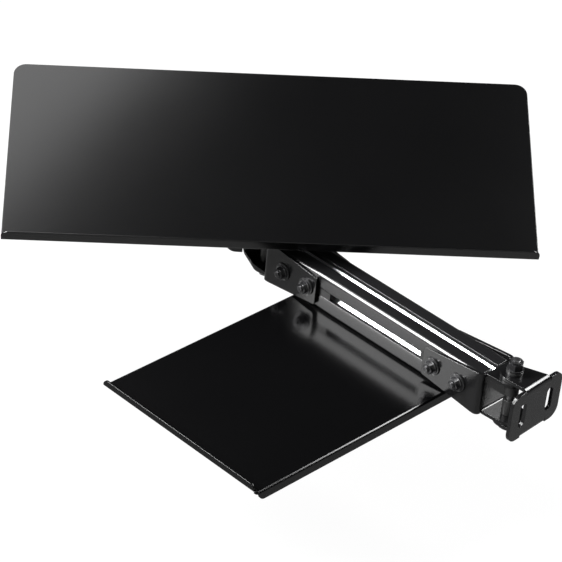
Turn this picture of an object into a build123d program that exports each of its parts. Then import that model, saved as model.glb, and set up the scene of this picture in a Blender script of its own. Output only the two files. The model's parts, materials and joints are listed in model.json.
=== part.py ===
from build123d import *
import math
import os

# Keyboard and mouse tray on a swinging arm. All sizes are in millimetres.
# The part's origin is the centre of the slotted face that bolts to the rig.
# +X points into the rig, the arm reaches out along -X, and +Z is up.

# The arm, a square aluminium extrusion with one T-slot along each side
profile_size = 40.0
profile_corner = 4.0
slot_mouth = 8.2
slot_bevel_width = 2.8
slot_bevel_depth = 0.5
slot_lip = 4.5
slot_inner_width = 20.5
slot_straight = 1.8
slot_depth = 12.25
profile_core_bore = 6.8
profile_corner_hollow = 5.0
profile_corner_hollow_place = 14.6

# Formed steel brackets at both ends of the arm
bracket_sheet = 3.5
bend_inside = 1.5
bend_relief = 0.8
web_span = 285.0
profile_end_gap = 1.2
side_fit = 0.1
pin_to_web = 18.0
clevis_height = 45.0
clevis_ear_radius = 16.5
clevis_ear_root = 35.5
side_plate_length = 71.5
side_plate_end_height = 30.0
side_plate_corner = 3.0
side_plate_flat = 7.5

# Slotted bracket that swings on the hinge bolt, the same part at both ends
face_width = 74.0
face_height = 54.0
face_corner = 11.5
face_end_step = 1.4
face_offset = 4.8
face_drop = 0.8
pin_to_face = 25.6
ear_radius = 13.5
ear_root = 36.5
face_slot_pitch = 40.0
face_slot_width = 9.0
face_slot_height = 26.0

# Hinge bolt, bushes, washers and nut
hinge_bolt = 8.0
hinge_bolt_head = 13.0
hinge_bolt_head_height = 5.3
hinge_bolt_end = 1.0
hinge_hole_clearance = 0.4
bush_bore_clearance = 0.2
bush_neck = 11.0
bush_body = 13.5
bush_inner_end = 3.0
bush_fit = 0.05
bush_neck_short = 0.2
flat_washer = 16.0
flat_washer_thickness = 1.6
disc_spring = 16.0
disc_spring_thickness = 1.3
thrust_washer = 23.0
thrust_gap = 0.05
hinge_nut_height = 6.6
hinge_nut_collar = 11.6
hinge_nut_collar_height = 1.4

# Studs and slot bars that hold each end bracket to the arm
stud = 6.0
stud_first = 27.0
stud_pitch = 32.0
stud_length_past_nut = 2.3
stud_hole_clearance = 0.6
thread_clearance = 0.1
stud_washer = 18.0
stud_washer_thickness = 1.6
stud_nut_across = 10.0
stud_nut_height = 6.0
stud_nut_flange = 14.2
stud_nut_flange_thickness = 1.2
bar_width = 15.0
bar_thickness = 4.2
bar_neck_clearance = 0.4
bar_neck_recess = 0.8
bar_seat_gap = 0.05
bar_start = 6.5
bar_past_plate_mount = 7.0
bar_past_plate_keyboard = 15.5

# Mouse tray, a sheet that hangs under the arm. Its front lip stands up and its side lips hang down
mouse_sheet = 2.0
mouse_tray_width = 204.0
mouse_tray_reach = 266.2
mouse_tray_inside = 20.0
mouse_tray_from_web = 40.5
mouse_side_lip = 10.2
mouse_side_lip_corner = 8.2
mouse_left_lip_short = 4.0
mouse_front_lip = 7.9
mouse_front_lip_corner = 5.9
mouse_front_lip_short = 4.0
mouse_fold = 2.6
mouse_corner = 2.7
mouse_slide_gap = 0.05
mouse_bolt_pitch = 70.0
mouse_bolt_count = 3
mouse_bolt_past_nut = 1.0
mouse_bolt_washer = 14.0
slot_nut_length = 22.0

# Keyboard tray, a sheet with a raised lip along its front edge
tray_sheet = 2.0
tray_width = 518.2
tray_depth = 216.2
tray_back_corner = 12.5
tray_front_lip = 13.7
tray_front_lip_corner = 7.0
tray_fold = 2.6
tray_offset = 4.2
tray_front_to_pivot = 110.2
tray_above_pivot = 40.5

# Flat metal left between a fold's curve and the sheet that it starts from
fold_margin = 0.2

# Tilt bracket on the slotted face, and the tray's own bracket around it
tilt_sheet = 3.0
tilt_bracket_width = 68.0
tilt_bracket_edge = 4.5
tilt_bracket_half_height = 19.0
pivot_from_face = 24.2
pivot_above_face_centre = 41.3
pivot_ear_radius = 11.0
lock_radius = 23.0
lock_ear_radius = 8.0
tilt_level = 0.0
tilt_steepest = 24.0
tilt_slot_margin = 1.0
tray_bracket_length = 88.0
ear_gap = 1.0
ear_washer_gap = 0.05
pivot_bolt = 8.0
pivot_bolt_head = 13.0
pivot_bolt_head_height = 5.3
lock_bolt = 6.0
lock_bolt_head = 10.0
lock_bolt_head_height = 4.0
lock_washer = 14.0
ear_washer = 18.0
weld_stud = 5.0
weld_stud_length = 12.0
weld_stud_root = 0.3
weld_stud_pitch_across = 52.0
weld_stud_pitch_along = 62.0
weld_nut_across = 8.0
weld_nut_height = 4.7
weld_washer = 12.0
weld_washer_thickness = 1.0
face_bolt = 8.0
face_bolt_head = 14.0
face_bolt_head_height = 4.4
face_nut_across = 13.0
face_nut_height = 6.8

# Angles at rest, in degrees, and the angle of straight up in a section
arm_swing = -3.0
keyboard_swing = 137.0
tray_roll = -1.45
tray_tilt = 22.06
upright = 90.0

# Worked out from the sizes above
half_profile = profile_size / 2
half_clevis = clevis_height / 2
pin_span = web_span + 2 * pin_to_web
outer_bend = bend_inside + bracket_sheet
tilt_bend = bend_inside + tilt_sheet
side_outer = half_profile + side_fit + bracket_sheet
stud_places = (stud_first, stud_first + stud_pitch)
ear_top = face_height / 2 - face_drop
ear_bottom = -face_height / 2 - face_drop
thrust_thickness = -half_clevis - (ear_bottom + bracket_sheet) - thrust_gap
half_tilt_bracket = tilt_bracket_width / 2
tray_ear_inside = half_tilt_bracket + ear_gap

# Where each group of pieces stands in the part's frame
mount_frame = Location((-pin_to_face, -face_offset, face_drop))
arm_frame = mount_frame * Location((0, 0, 0), (0, 0, arm_swing))
keyboard_pin = arm_frame * Location((-pin_span, 0, 0))
keyboard_clevis_frame = keyboard_pin * Location((0, 0, 0), (0, 0, 180))
swivel_frame = keyboard_pin * Location((0, 0, 0), (0, 0, keyboard_swing))
face_frame = (
    swivel_frame
    * Location((pin_to_face, face_offset, -face_drop), (tray_roll, 0, 0))
    * Location((0, 0, 0), (0, 0, -90))
)
tilt_frame = (
    face_frame
    * Location((0, pivot_from_face, pivot_above_face_centre))
    * Location((0, 0, 0), (tray_tilt, 0, 0))
)


def tube(outer, inner, bottom, top):
    ring = Circle(outer / 2) - Circle(inner / 2)
    return extrude(Pos(0, 0, bottom) * ring, top - bottom)


def rod(diameter, bottom, top, tip):
    body = extrude(Pos(0, 0, bottom) * Circle(diameter / 2), top - bottom)
    return chamfer(body.edges().filter_by(GeomType.CIRCLE).sort_by(Axis.Z)[-1], tip)


def bore(diameter, height):
    return extrude(Pos(0, 0, -1) * Circle(diameter / 2), height + 2)


def hexagon(across, bottom, top):
    """A six-sided prism with its corners turned down at both ends."""
    corner_radius = across / math.sqrt(3)
    prism = extrude(Pos(0, 0, bottom) * RegularPolygon(across / 2, 6, major_radius=False), top - bottom)
    turned = extrude(Pos(0, 0, bottom) * Circle(corner_radius), top - bottom)
    rims = turned.edges().filter_by(GeomType.CIRCLE)
    return prism & chamfer(rims, (corner_radius - across / 2) * 0.8)


def hex_bolt(diameter, length, head_across, head_height):
    """Head below zero, shank up to length."""
    head = hexagon(head_across, -head_height, 0)
    return head + rod(diameter, -head_height / 2, length, diameter / 10)


def round_head_bolt(diameter, length, head_diameter, head_height):
    """Domed head below zero, shank up to length."""
    head = extrude(Pos(0, 0, -head_height) * Circle(head_diameter / 2), head_height)
    head = fillet(head.edges().filter_by(GeomType.CIRCLE).sort_by(Axis.Z)[0], head_height * 0.8)
    return head + rod(diameter, -head_height / 3, length, diameter / 10)


def plain_nut(diameter, across, height):
    return hexagon(across, 0, height) - bore(diameter + thread_clearance, height)


def lock_nut(diameter, across, height, collar, collar_height):
    """Hexagon below, round collar on top."""
    ring = extrude(Pos(0, 0, height / 2) * Circle(collar / 2), height / 2 + collar_height)
    ring = fillet(ring.edges().filter_by(GeomType.CIRCLE).sort_by(Axis.Z)[-1], collar_height * 0.6)
    return hexagon(across, 0, height) + ring - bore(diameter + thread_clearance, height + collar_height)


def flange_nut(diameter, across, height, flange, flange_thickness):
    disc = extrude(Circle(flange / 2), flange_thickness)
    disc = fillet(disc.edges().filter_by(GeomType.CIRCLE).sort_by(Axis.Z)[-1], flange_thickness / 2)
    return disc + hexagon(across, flange_thickness / 2, height) - bore(diameter + thread_clearance, height)


def profile_section():
    """The extrusion's section, drawn across the arm."""
    half_mouth = slot_mouth / 2
    half_bevel = half_mouth + slot_bevel_width
    bevel_floor = half_profile - slot_bevel_depth
    half_inner = slot_inner_width / 2
    lip_floor = half_profile - slot_lip
    taper_top = lip_floor - slot_straight
    slot_floor = half_profile - slot_depth
    half_floor = half_inner - (taper_top - slot_floor)
    slot = Polygon(
        (-half_bevel, half_profile + 1), (-half_bevel, half_profile), (-half_mouth, bevel_floor),
        (-half_mouth, lip_floor), (-half_inner, lip_floor), (-half_inner, taper_top),
        (-half_floor, slot_floor), (half_floor, slot_floor),
        (half_inner, taper_top), (half_inner, lip_floor), (half_mouth, lip_floor),
        (half_mouth, bevel_floor), (half_bevel, half_profile), (half_bevel, half_profile + 1),
        align=None,
    )
    section = RectangleRounded(profile_size, profile_size, profile_corner)
    section = section - Circle(profile_core_bore / 2)
    place = profile_corner_hollow_place
    hollow = Pos(place, place) * Circle(profile_corner_hollow / 2)
    for turn in range(4):
        section = section - Rot(0, 0, 90 * turn) * slot - Rot(0, 0, 90 * turn) * hollow
    return section


def arm_profile():
    inset = pin_to_web + bracket_sheet + profile_end_gap
    length = pin_span - 2 * inset
    return Pos(-inset - length, 0, 0) * extrude(Plane.YZ * profile_section(), length)


def folded_ear(face_near, face_far, nose, root_centre, root_width, nose_radius):
    """The upper ear of a bracket: it leaves the face at its near side and ends round the hinge bolt.

    Its upper side is at zero height. face_near and face_far are the two sides of the face along X.
    """
    step = math.copysign(bracket_sheet, face_near - face_far)
    low = -outer_bend - bend_relief - bracket_sheet
    section = Polygon(
        (face_far, low), (face_far, 0), (nose, 0),
        (nose, -bracket_sheet), (face_far + step, -bracket_sheet), (face_far + step, low),
        align=None,
    )
    inner_corner = section.vertices().sort_by_distance((face_far + step, -bracket_sheet, 0))[0]
    section = fillet(inner_corner, bend_inside)
    section = fillet(section.vertices().sort_by_distance((face_far, 0, 0))[0], outer_bend)
    strip = Pos(0, root_centre, 0) * extrude(Plane.XZ * section, root_width, both=True)
    root = Pos((face_near + face_far) / 2, root_centre) * Rectangle(bracket_sheet, root_width)
    outline = make_hull(root.edges() + Circle(nose_radius).edges())
    return strip & extrude(Pos(0, 0, low - 1) * outline, 1 - low + 1)


def bend_cut(face_middle, root_centre, root_width):
    """Clears the face under an ear's bend and leaves a relief slit at each end of it."""
    depth = outer_bend + bend_relief
    return Pos(face_middle, root_centre, -depth / 2 + 1) * Box(
        bracket_sheet + 1, root_width + 2 * bend_relief, depth + 2
    )


def clevis():
    """End bracket of the arm: side plates, a web across the end and two ears for the hinge bolt."""
    web_out = -pin_to_web
    web_in = web_out - bracket_sheet
    free_end = web_out - side_plate_length
    outer = Pos((web_out + free_end) / 2, 0) * Rectangle(side_plate_length, 2 * side_outer)
    outer = fillet(outer.vertices().sort_by(Axis.X)[-2:], outer_bend)
    inner = Pos((web_in + free_end) / 2, 0) * Rectangle(
        side_plate_length - bracket_sheet, 2 * (side_outer - bracket_sheet)
    )
    inner = fillet(inner.vertices().sort_by(Axis.X)[-2:], bend_inside)
    channel = extrude(Pos(0, 0, -half_clevis) * (outer - inner), clevis_height)
    half_end = side_plate_end_height / 2
    taper_start = web_out - side_plate_flat
    side_view = Polygon(
        (web_out + 1, half_clevis), (taper_start, half_clevis), (free_end, half_end),
        (free_end, -half_end), (taper_start, -half_clevis), (web_out + 1, -half_clevis),
        align=None,
    )
    side_view = fillet(side_view.vertices().sort_by(Axis.X)[:2], side_plate_corner)
    body = channel & extrude(Plane.XZ * side_view, side_outer + 1, both=True)
    cut = Pos(0, 0, half_clevis) * bend_cut((web_in + web_out) / 2, 0, clevis_ear_root)
    ear = Pos(0, 0, half_clevis) * folded_ear(
        web_out, web_in, clevis_ear_radius + 1, 0, clevis_ear_root, clevis_ear_radius
    )
    body = body - cut - mirror(cut, Plane.XY)
    body = body + ear + mirror(ear, Plane.XY)
    body = body - Cylinder(bush_neck / 2 + bush_fit, 2 * clevis_height)
    for place in stud_places:
        hole = Cylinder((stud + stud_hole_clearance) / 2, 4 * side_outer)
        body = body - Pos(web_out - place, 0, 0) * Rot(90, 0, 0) * hole
    return body


def swing_bracket():
    """The slotted face with one ear above and one below, around the hinge bolt.

    Beside the ears, the face's ends stop a step short of the ears' outer sides.
    """
    face_in = pin_to_face - bracket_sheet
    plate = RectangleRounded(face_width, face_height - 2 * face_end_step, face_corner)
    for side in (-1, 1):
        plate = plate - Pos(side * face_slot_pitch / 2, 0) * SlotOverall(
            face_slot_height, face_slot_width, rotation=90
        )
    body = Pos(face_in, face_offset, 0) * extrude(Plane.YZ * plate, bracket_sheet)
    cut = Pos(0, 0, face_height / 2) * bend_cut(face_in + bracket_sheet / 2, face_offset, ear_root)
    ear = Pos(0, 0, face_height / 2) * folded_ear(
        face_in, pin_to_face, -ear_radius - 1, face_offset, ear_root, ear_radius
    )
    body = body - cut - mirror(cut, Plane.XY)
    body = body + ear + mirror(ear, Plane.XY)
    hole = Cylinder((hinge_bolt + hinge_hole_clearance) / 2, 2 * face_height)
    return Pos(0, 0, -face_drop) * (body - hole)


def hinge_washer(outer, thickness, bottom):
    return tube(outer, hinge_bolt + hinge_hole_clearance, bottom, bottom + thickness)


def disc_spring_pair(bottom):
    """Two coned washers set rim to rim."""
    half_bore = (hinge_bolt + hinge_hole_clearance) / 2
    half_outer = disc_spring / 2
    rise = disc_spring_thickness / 3
    cone = Polygon(
        (half_bore, rise), (half_outer, 0), (half_outer, disc_spring_thickness - rise),
        (half_bore, disc_spring_thickness), align=None,
    )
    ring = revolve(Plane.XZ * cone, Axis.Z)
    upper = Pos(0, 0, bottom + disc_spring_thickness) * ring
    lower = Pos(0, 0, bottom + disc_spring_thickness) * mirror(ring, Plane.XY)
    return [lower, upper]


def hinge_bushes():
    """Two shouldered bushes pressed into the clevis ears from between them."""
    ear_inside = half_clevis - bracket_sheet
    neck_end = half_clevis - bush_neck_short
    inner = hinge_bolt + bush_bore_clearance
    upper = tube(bush_body, inner, bush_inner_end, ear_inside)
    upper = upper + tube(bush_neck, inner, ear_inside - 1, neck_end)
    return [upper, mirror(upper, Plane.XY)]


def hinge_pieces(end):
    """What holds one swing bracket to one clevis, from the bolt head up to the nut."""
    low_washer = ear_bottom - flat_washer_thickness
    springs_low = ear_top + flat_washer_thickness
    springs_high = springs_low + 2 * disc_spring_thickness
    nut_low = springs_high + flat_washer_thickness
    bolt_top = nut_low + hinge_nut_height + hinge_nut_collar_height + hinge_bolt_end
    bolt = hex_bolt(hinge_bolt, bolt_top - low_washer, hinge_bolt_head, hinge_bolt_head_height)
    return {
        end + "_hinge_bolt": [Pos(0, 0, low_washer) * bolt],
        end + "_hinge_washers": [
            hinge_washer(flat_washer, flat_washer_thickness, low_washer),
            hinge_washer(flat_washer, flat_washer_thickness, ear_top),
            hinge_washer(flat_washer, flat_washer_thickness, springs_high),
        ],
        end + "_hinge_disc_springs": disc_spring_pair(springs_low),
        end + "_hinge_thrust_washer": [
            hinge_washer(thrust_washer, thrust_thickness, ear_bottom + bracket_sheet)
        ],
        end + "_hinge_lock_nut": [
            Pos(0, 0, nut_low)
            * lock_nut(
                hinge_bolt, hinge_bolt_head, hinge_nut_height, hinge_nut_collar, hinge_nut_collar_height
            )
        ],
    }


def slot_bar(past_plate):
    """A bar behind the slot's lips, with its neck in the mouth and two tapped holes."""
    start = pin_to_web + bar_start
    end = pin_to_web + side_plate_length + past_plate
    back = half_profile - slot_lip - bar_seat_gap
    neck_top = half_profile - bar_neck_recess
    neck_width = slot_mouth - bar_neck_clearance
    section = Pos(back - bar_thickness / 2, 0) * Rectangle(bar_thickness, bar_width)
    section = section + Pos((back + neck_top) / 2, 0) * Rectangle(neck_top - back, neck_width)
    body = Pos(-start, 0, 0) * extrude(Plane.YZ * section, start - end)
    for place in stud_places:
        hole = Cylinder((stud + thread_clearance) / 2, 4 * half_profile)
        body = body - Pos(-pin_to_web - place, 0, 0) * Rot(90, 0, 0) * hole
    return body


def slot_fixings(end, past_plate):
    """Bars, studs, washers and nuts that clamp one clevis to both sides of the arm."""
    bar_back = half_profile - slot_lip - bar_seat_gap - bar_thickness
    nut_seat = side_outer + stud_washer_thickness
    stud_end = nut_seat + stud_nut_height + stud_length_past_nut
    stud_body = rod(stud, bar_back, stud_end, stud / 10)
    washer = tube(stud_washer, stud + stud_hole_clearance, side_outer, nut_seat)
    nut = Pos(0, 0, nut_seat) * flange_nut(
        stud, stud_nut_across, stud_nut_height, stud_nut_flange, stud_nut_flange_thickness
    )
    bar = slot_bar(past_plate)
    pieces = {end + "_slot_bars": [bar, Rot(180, 0, 0) * bar]}
    for name, piece in (("studs", stud_body), ("stud_washers", washer), ("stud_nuts", nut)):
        pieces[end + "_" + name] = [
            Pos(-pin_to_web - place, 0, 0) * Rot(turn, 0, 0) * piece
            for place in stud_places
            for turn in (90, -90)
        ]
    return pieces


def folded_lip(length, height, sheet, fold, corner):
    """A lip folded down from a sheet's edge, run along X with its outside at zero Y.

    The sheet's upper side is at zero height, and the lip's free edge is rounded off at both ends.
    """
    inset = fold + fold_margin
    section = Polygon(
        (inset, 0), (0, 0), (0, -height), (sheet, -height), (sheet, -sheet), (inset, -sheet), align=None
    )
    section = fillet(section.vertices().sort_by_distance((0, 0, 0))[0], fold)
    inner_corner = section.vertices().sort_by_distance((sheet, -sheet, 0))[0]
    section = fillet(inner_corner, fold - sheet)
    strip = extrude(Plane.YZ * section, length)
    outline = Pos(length / 2, (corner - height) / 2) * Rectangle(length, height + corner)
    outline = fillet(outline.vertices().group_by(Axis.Y)[0], corner)
    return strip & extrude(Plane.XZ * outline, inset + 1, both=True)


def mouse_tray():
    right = -pin_to_web - mouse_tray_from_web
    left = right - mouse_tray_width
    front = -mouse_tray_reach
    back = mouse_tray_inside
    top = -half_profile - mouse_slide_gap
    inset = mouse_fold + fold_margin
    outline = Pos((left + right) / 2, (front + back) / 2) * Rectangle(mouse_tray_width, back - front)
    outline = fillet(outline.vertices().sort_by_distance((right, front, 0))[0], mouse_corner)
    front_length = mouse_tray_width - mouse_front_lip_short
    outline = outline - Pos(left + front_length / 2, front) * Rectangle(front_length, 2 * inset)
    side_length = back - front - inset
    for edge in (left, right):
        outline = outline - Pos(edge, back - side_length / 2) * Rectangle(2 * inset, side_length)
    body = extrude(Pos(0, 0, top - mouse_sheet) * outline, mouse_sheet)
    lip = folded_lip(front_length, mouse_front_lip, mouse_sheet, mouse_fold, mouse_front_lip_corner)
    body = body + Pos(left, front, top - mouse_sheet) * mirror(lip, Plane.XY)
    for place, turn, length in (
        ((right, front + inset, top), 90, side_length),
        ((left, back, top), -90, side_length - mouse_left_lip_short),
    ):
        side = folded_lip(length, mouse_side_lip, mouse_sheet, mouse_fold, mouse_side_lip_corner)
        body = body + Pos(*place) * Rot(0, 0, turn) * side
    for place in mouse_bolt_places():
        body = body - Pos(place, 0, top) * Cylinder((stud + stud_hole_clearance) / 2, 4 * mouse_sheet)
    return body


def mouse_bolt_places():
    middle = -pin_to_web - mouse_tray_from_web - mouse_tray_width / 2
    first = middle - mouse_bolt_pitch * (mouse_bolt_count - 1) / 2
    return [first + mouse_bolt_pitch * number for number in range(mouse_bolt_count)]


def slot_nut():
    """Block behind the slot's lips with a neck in the mouth. Its back is at zero height."""
    neck = slot_mouth - bar_neck_clearance
    neck_height = slot_lip - bar_neck_recess + bar_seat_gap
    block = Pos(0, 0, bar_thickness / 2) * Box(slot_nut_length, bar_width, bar_thickness)
    block = block + Pos(0, 0, bar_thickness + neck_height / 2) * Box(slot_nut_length, neck, neck_height)
    return block - bore(stud + thread_clearance, bar_thickness + neck_height)


def mouse_fixings():
    """Bolts up through the mouse tray into nuts in the arm's lower slot."""
    washer_top = -half_profile - mouse_slide_gap - mouse_sheet
    washer_low = washer_top - stud_washer_thickness
    nut_back = -half_profile + slot_lip + bar_seat_gap + bar_thickness
    bolt = hex_bolt(stud, nut_back + mouse_bolt_past_nut - washer_low, lock_bolt_head, lock_bolt_head_height)
    washer = tube(mouse_bolt_washer, stud + stud_hole_clearance, washer_low, washer_top)
    nut = Pos(0, 0, nut_back) * Rot(180, 0, 0) * slot_nut()
    places = [Pos(place, 0, 0) for place in mouse_bolt_places()]
    return {
        "mouse_tray_bolts": [place * Pos(0, 0, washer_low) * bolt for place in places],
        "mouse_tray_washers": [place * washer for place in places],
        "mouse_tray_slot_nuts": [place * nut for place in places],
    }


def weld_stud_places():
    return [
        Pos(across * weld_stud_pitch_across / 2, along * weld_stud_pitch_along / 2, 0)
        for across in (-1, 1)
        for along in (-1, 1)
    ]


def keyboard_tray():
    """Flat sheet with a raised lip along its front edge, and four studs welded under it."""
    front = -tray_front_to_pivot
    top = tray_above_pivot
    inset = tray_fold + fold_margin
    outline = Pos(tray_offset, front + (inset + tray_depth) / 2) * Rectangle(tray_width, tray_depth - inset)
    outline = fillet(outline.vertices().sort_by(Axis.Y)[-2:], tray_back_corner)
    body = extrude(Pos(0, 0, top - tray_sheet) * outline, tray_sheet)
    lip = folded_lip(tray_width, tray_front_lip, tray_sheet, tray_fold, tray_front_lip_corner)
    body = body + Pos(tray_offset - tray_width / 2, front, top - tray_sheet) * mirror(lip, Plane.XY)
    stud_body = rod(weld_stud, 0, weld_stud_length, weld_stud / 10)
    for place in weld_stud_places():
        body = body + place * Pos(0, 0, top - tray_sheet + weld_stud_root) * Rot(180, 0, 0) * stud_body
    return body


def lock_place(tilt):
    """Where the lock bolt stands in the fixed bracket when the tray is tilted by this angle."""
    angle = math.radians(tilt)
    return (
        pivot_from_face - lock_radius * math.sin(angle),
        pivot_above_face_centre + lock_radius * math.cos(angle),
    )


def tilt_bracket():
    """Channel bolted to the slotted face, with a pivot hole and an arc slot in each side."""
    length = pivot_from_face + 2 * pivot_ear_radius
    half_width = half_tilt_bracket
    outer = Pos(0, length / 2) * Rectangle(2 * half_width, length)
    outer = fillet(outer.vertices().sort_by(Axis.Y)[:2], tilt_bend)
    inner = Pos(0, tilt_sheet + length / 2) * Rectangle(2 * (half_width - tilt_sheet), length)
    inner = fillet(inner.vertices().sort_by(Axis.Y)[:2], bend_inside)
    height = pivot_above_face_centre + lock_radius + lock_ear_radius
    channel = extrude(Pos(0, 0, -face_height / 2) * (outer - inner), height + face_height / 2)
    circles = [Pos(pivot_from_face, pivot_above_face_centre) * Circle(pivot_ear_radius)]
    for side in (-1, 1):
        circles.append(Pos(tilt_bracket_edge, side * tilt_bracket_half_height) * Circle(tilt_bracket_edge))
    for tilt in (tilt_level, tilt_steepest):
        circles.append(Pos(*lock_place(tilt)) * Circle(lock_ear_radius))
    outline = make_hull([edge for circle in circles for edge in circle.edges()])
    body = channel & extrude(Plane.YZ * outline, half_width + 1, both=True)
    arc_start = upright + tilt_level - tilt_slot_margin
    arc = CenterArc(
        (pivot_from_face, pivot_above_face_centre), lock_radius, arc_start,
        tilt_steepest - tilt_level + 2 * tilt_slot_margin,
    )
    slot = SlotArc(arc, lock_bolt + stud_hole_clearance)
    pivot = Pos(pivot_from_face, pivot_above_face_centre) * Circle((pivot_bolt + hinge_hole_clearance) / 2)
    for cut in (slot, pivot):
        body = body - extrude(Plane.YZ * cut, half_width + 1, both=True)
    for side in (-1, 1):
        hole = Cylinder((face_bolt + stud_hole_clearance) / 2, 4 * tilt_sheet)
        body = body - Pos(side * face_slot_pitch / 2, 0, 0) * Rot(90, 0, 0) * hole
    return body


def face_fixings():
    """Bolts through the slotted face and the tilt bracket. They run along Y."""
    washer = tube(flat_washer, face_bolt + hinge_hole_clearance, 0, flat_washer_thickness)
    nut_seat = tilt_sheet + flat_washer_thickness
    length = bracket_sheet + nut_seat + face_nut_height + 2 * thread_clearance * face_bolt
    bolt = round_head_bolt(face_bolt, length, face_bolt_head, face_bolt_head_height)
    nut = plain_nut(face_bolt, face_nut_across, face_nut_height)
    sides = [Pos(side * face_slot_pitch / 2, 0, 0) * Rot(-90, 0, 0) for side in (-1, 1)]
    return {
        "tilt_bracket_bolts": [side * Pos(0, 0, -bracket_sheet) * bolt for side in sides],
        "tilt_bracket_washers": [side * Pos(0, 0, tilt_sheet) * washer for side in sides],
        "tilt_bracket_nuts": [side * Pos(0, 0, nut_seat) * nut for side in sides],
    }


def tray_bracket():
    """Channel under the keyboard tray, with an ear outside each side of the tilt bracket."""
    top = tray_above_pivot - tray_sheet
    half_outer = tray_ear_inside + tilt_sheet
    height = top + pivot_ear_radius
    outer = Pos(0, top - height / 2) * Rectangle(2 * half_outer, height)
    outer = fillet(outer.vertices().sort_by(Axis.Y)[-2:], tilt_bend)
    inner = Pos(0, top - tilt_sheet - height / 2) * Rectangle(2 * tray_ear_inside, height)
    inner = fillet(inner.vertices().sort_by(Axis.Y)[-2:], bend_inside)
    channel = extrude(Plane.XZ * (outer - inner), tray_bracket_length / 2, both=True)
    upper = Pos(0, top - 2 * tilt_sheet) * Rectangle(tray_bracket_length, 4 * tilt_sheet)
    outline = make_hull(upper.edges() + Circle(pivot_ear_radius).edges())
    body = channel & extrude(Plane.YZ * outline, half_outer + 1, both=True)
    for bolt, height in ((pivot_bolt, 0), (lock_bolt, lock_radius)):
        hole = Cylinder((bolt + hinge_hole_clearance) / 2, 4 * half_outer)
        body = body - Pos(0, 0, height) * Rot(0, 90, 0) * hole
    for place in weld_stud_places():
        hole = Cylinder((weld_stud + stud_hole_clearance) / 2, 4 * tilt_sheet)
        body = body - place * Pos(0, 0, top) * hole
    return body


def tilt_bolt_set(side, height, diameter, head, head_height, nut_height, washer):
    """One bolt through a tray ear and a tilt bracket side, head outside, with its washer and nut."""
    outside = tray_ear_inside + tilt_sheet
    inside = half_tilt_bracket - tilt_sheet
    nut_seat = inside - flat_washer_thickness
    length = outside - nut_seat + nut_height + 2 * thread_clearance * diameter
    place = Pos(0, 0, height) * Rot(0, side * 90, 0)
    bolt = place * Pos(0, 0, outside) * Rot(180, 0, 0) * hex_bolt(diameter, length, head, head_height)
    nut = place * Pos(0, 0, nut_seat - nut_height) * plain_nut(diameter, head, nut_height)
    ring = place * tube(washer, diameter + hinge_hole_clearance, nut_seat, inside)
    return bolt, nut, ring


def tilt_fixings():
    """Pivot and lock bolts, one of each on both sides, with their washers and nuts."""
    names = ("tilt_pivot_bolts", "tilt_pivot_nuts", "tilt_lock_bolts", "tilt_lock_nuts")
    pieces = {name: [] for name in names + ("tilt_ear_washers", "tilt_inner_washers")}
    ear_washer_low = half_tilt_bracket + ear_washer_gap
    ear_washer_high = tray_ear_inside - ear_washer_gap
    for side in (-1, 1):
        bolt, nut, ring = tilt_bolt_set(
            side, 0, pivot_bolt, pivot_bolt_head, pivot_bolt_head_height, hinge_nut_height, flat_washer
        )
        pieces["tilt_pivot_bolts"].append(bolt)
        pieces["tilt_pivot_nuts"].append(nut)
        pieces["tilt_inner_washers"].append(ring)
        bolt, nut, ring = tilt_bolt_set(
            side, lock_radius, lock_bolt, lock_bolt_head, lock_bolt_head_height, stud_nut_height, lock_washer
        )
        pieces["tilt_lock_bolts"].append(bolt)
        pieces["tilt_lock_nuts"].append(nut)
        pieces["tilt_inner_washers"].append(ring)
        liner = tube(ear_washer, pivot_bolt + hinge_hole_clearance, ear_washer_low, ear_washer_high)
        pieces["tilt_ear_washers"].append(Rot(0, side * 90, 0) * liner)
    return pieces


def weld_stud_fixings():
    seat = tray_above_pivot - tray_sheet - tilt_sheet
    nut_seat = seat - weld_washer_thickness
    washer = tube(weld_washer, weld_stud + stud_hole_clearance, nut_seat, seat)
    nut = Pos(0, 0, nut_seat - weld_nut_height) * plain_nut(weld_stud, weld_nut_across, weld_nut_height)
    return {
        "tray_stud_washers": [place * washer for place in weld_stud_places()],
        "tray_stud_nuts": [place * nut for place in weld_stud_places()],
    }


def place_all(frame, pieces):
    return {name: [frame * solid for solid in solids] for name, solids in pieces.items()}


def build():
    nodes = {}
    for end, bracket_frame, clevis_place, past_plate in (
        ("mount", mount_frame, arm_frame, bar_past_plate_mount),
        ("keyboard", swivel_frame, keyboard_clevis_frame, bar_past_plate_keyboard),
    ):
        nodes.update(place_all(bracket_frame, {end + "_swing_bracket": [swing_bracket()]}))
        nodes.update(place_all(bracket_frame, hinge_pieces(end)))
        nodes.update(place_all(clevis_place, {end + "_clevis": [clevis()]}))
        nodes.update(place_all(clevis_place, {end + "_hinge_bushes": hinge_bushes()}))
        nodes.update(place_all(clevis_place, slot_fixings(end, past_plate)))
    nodes.update(place_all(arm_frame, {"arm_profile": [arm_profile()], "mouse_tray": [mouse_tray()]}))
    nodes.update(place_all(arm_frame, mouse_fixings()))
    nodes.update(place_all(face_frame, {"tilt_bracket": [tilt_bracket()]}))
    nodes.update(place_all(face_frame, face_fixings()))
    nodes.update(place_all(tilt_frame, {"tray_bracket": [tray_bracket()]}))
    nodes.update(place_all(tilt_frame, {"keyboard_tray": [keyboard_tray()]}))
    nodes.update(place_all(tilt_frame, tilt_fixings()))
    nodes.update(place_all(tilt_frame, weld_stud_fixings()))
    return nodes


os.makedirs("parts", exist_ok=True)
for name, solids in build().items():
    shape = solids[0] if len(solids) == 1 else Compound(children=solids)
    export_step(shape, "parts/" + name + ".step")
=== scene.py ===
import json
import math
from collections import defaultdict

import bmesh
import bpy
from mathutils import Matrix, Vector


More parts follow.
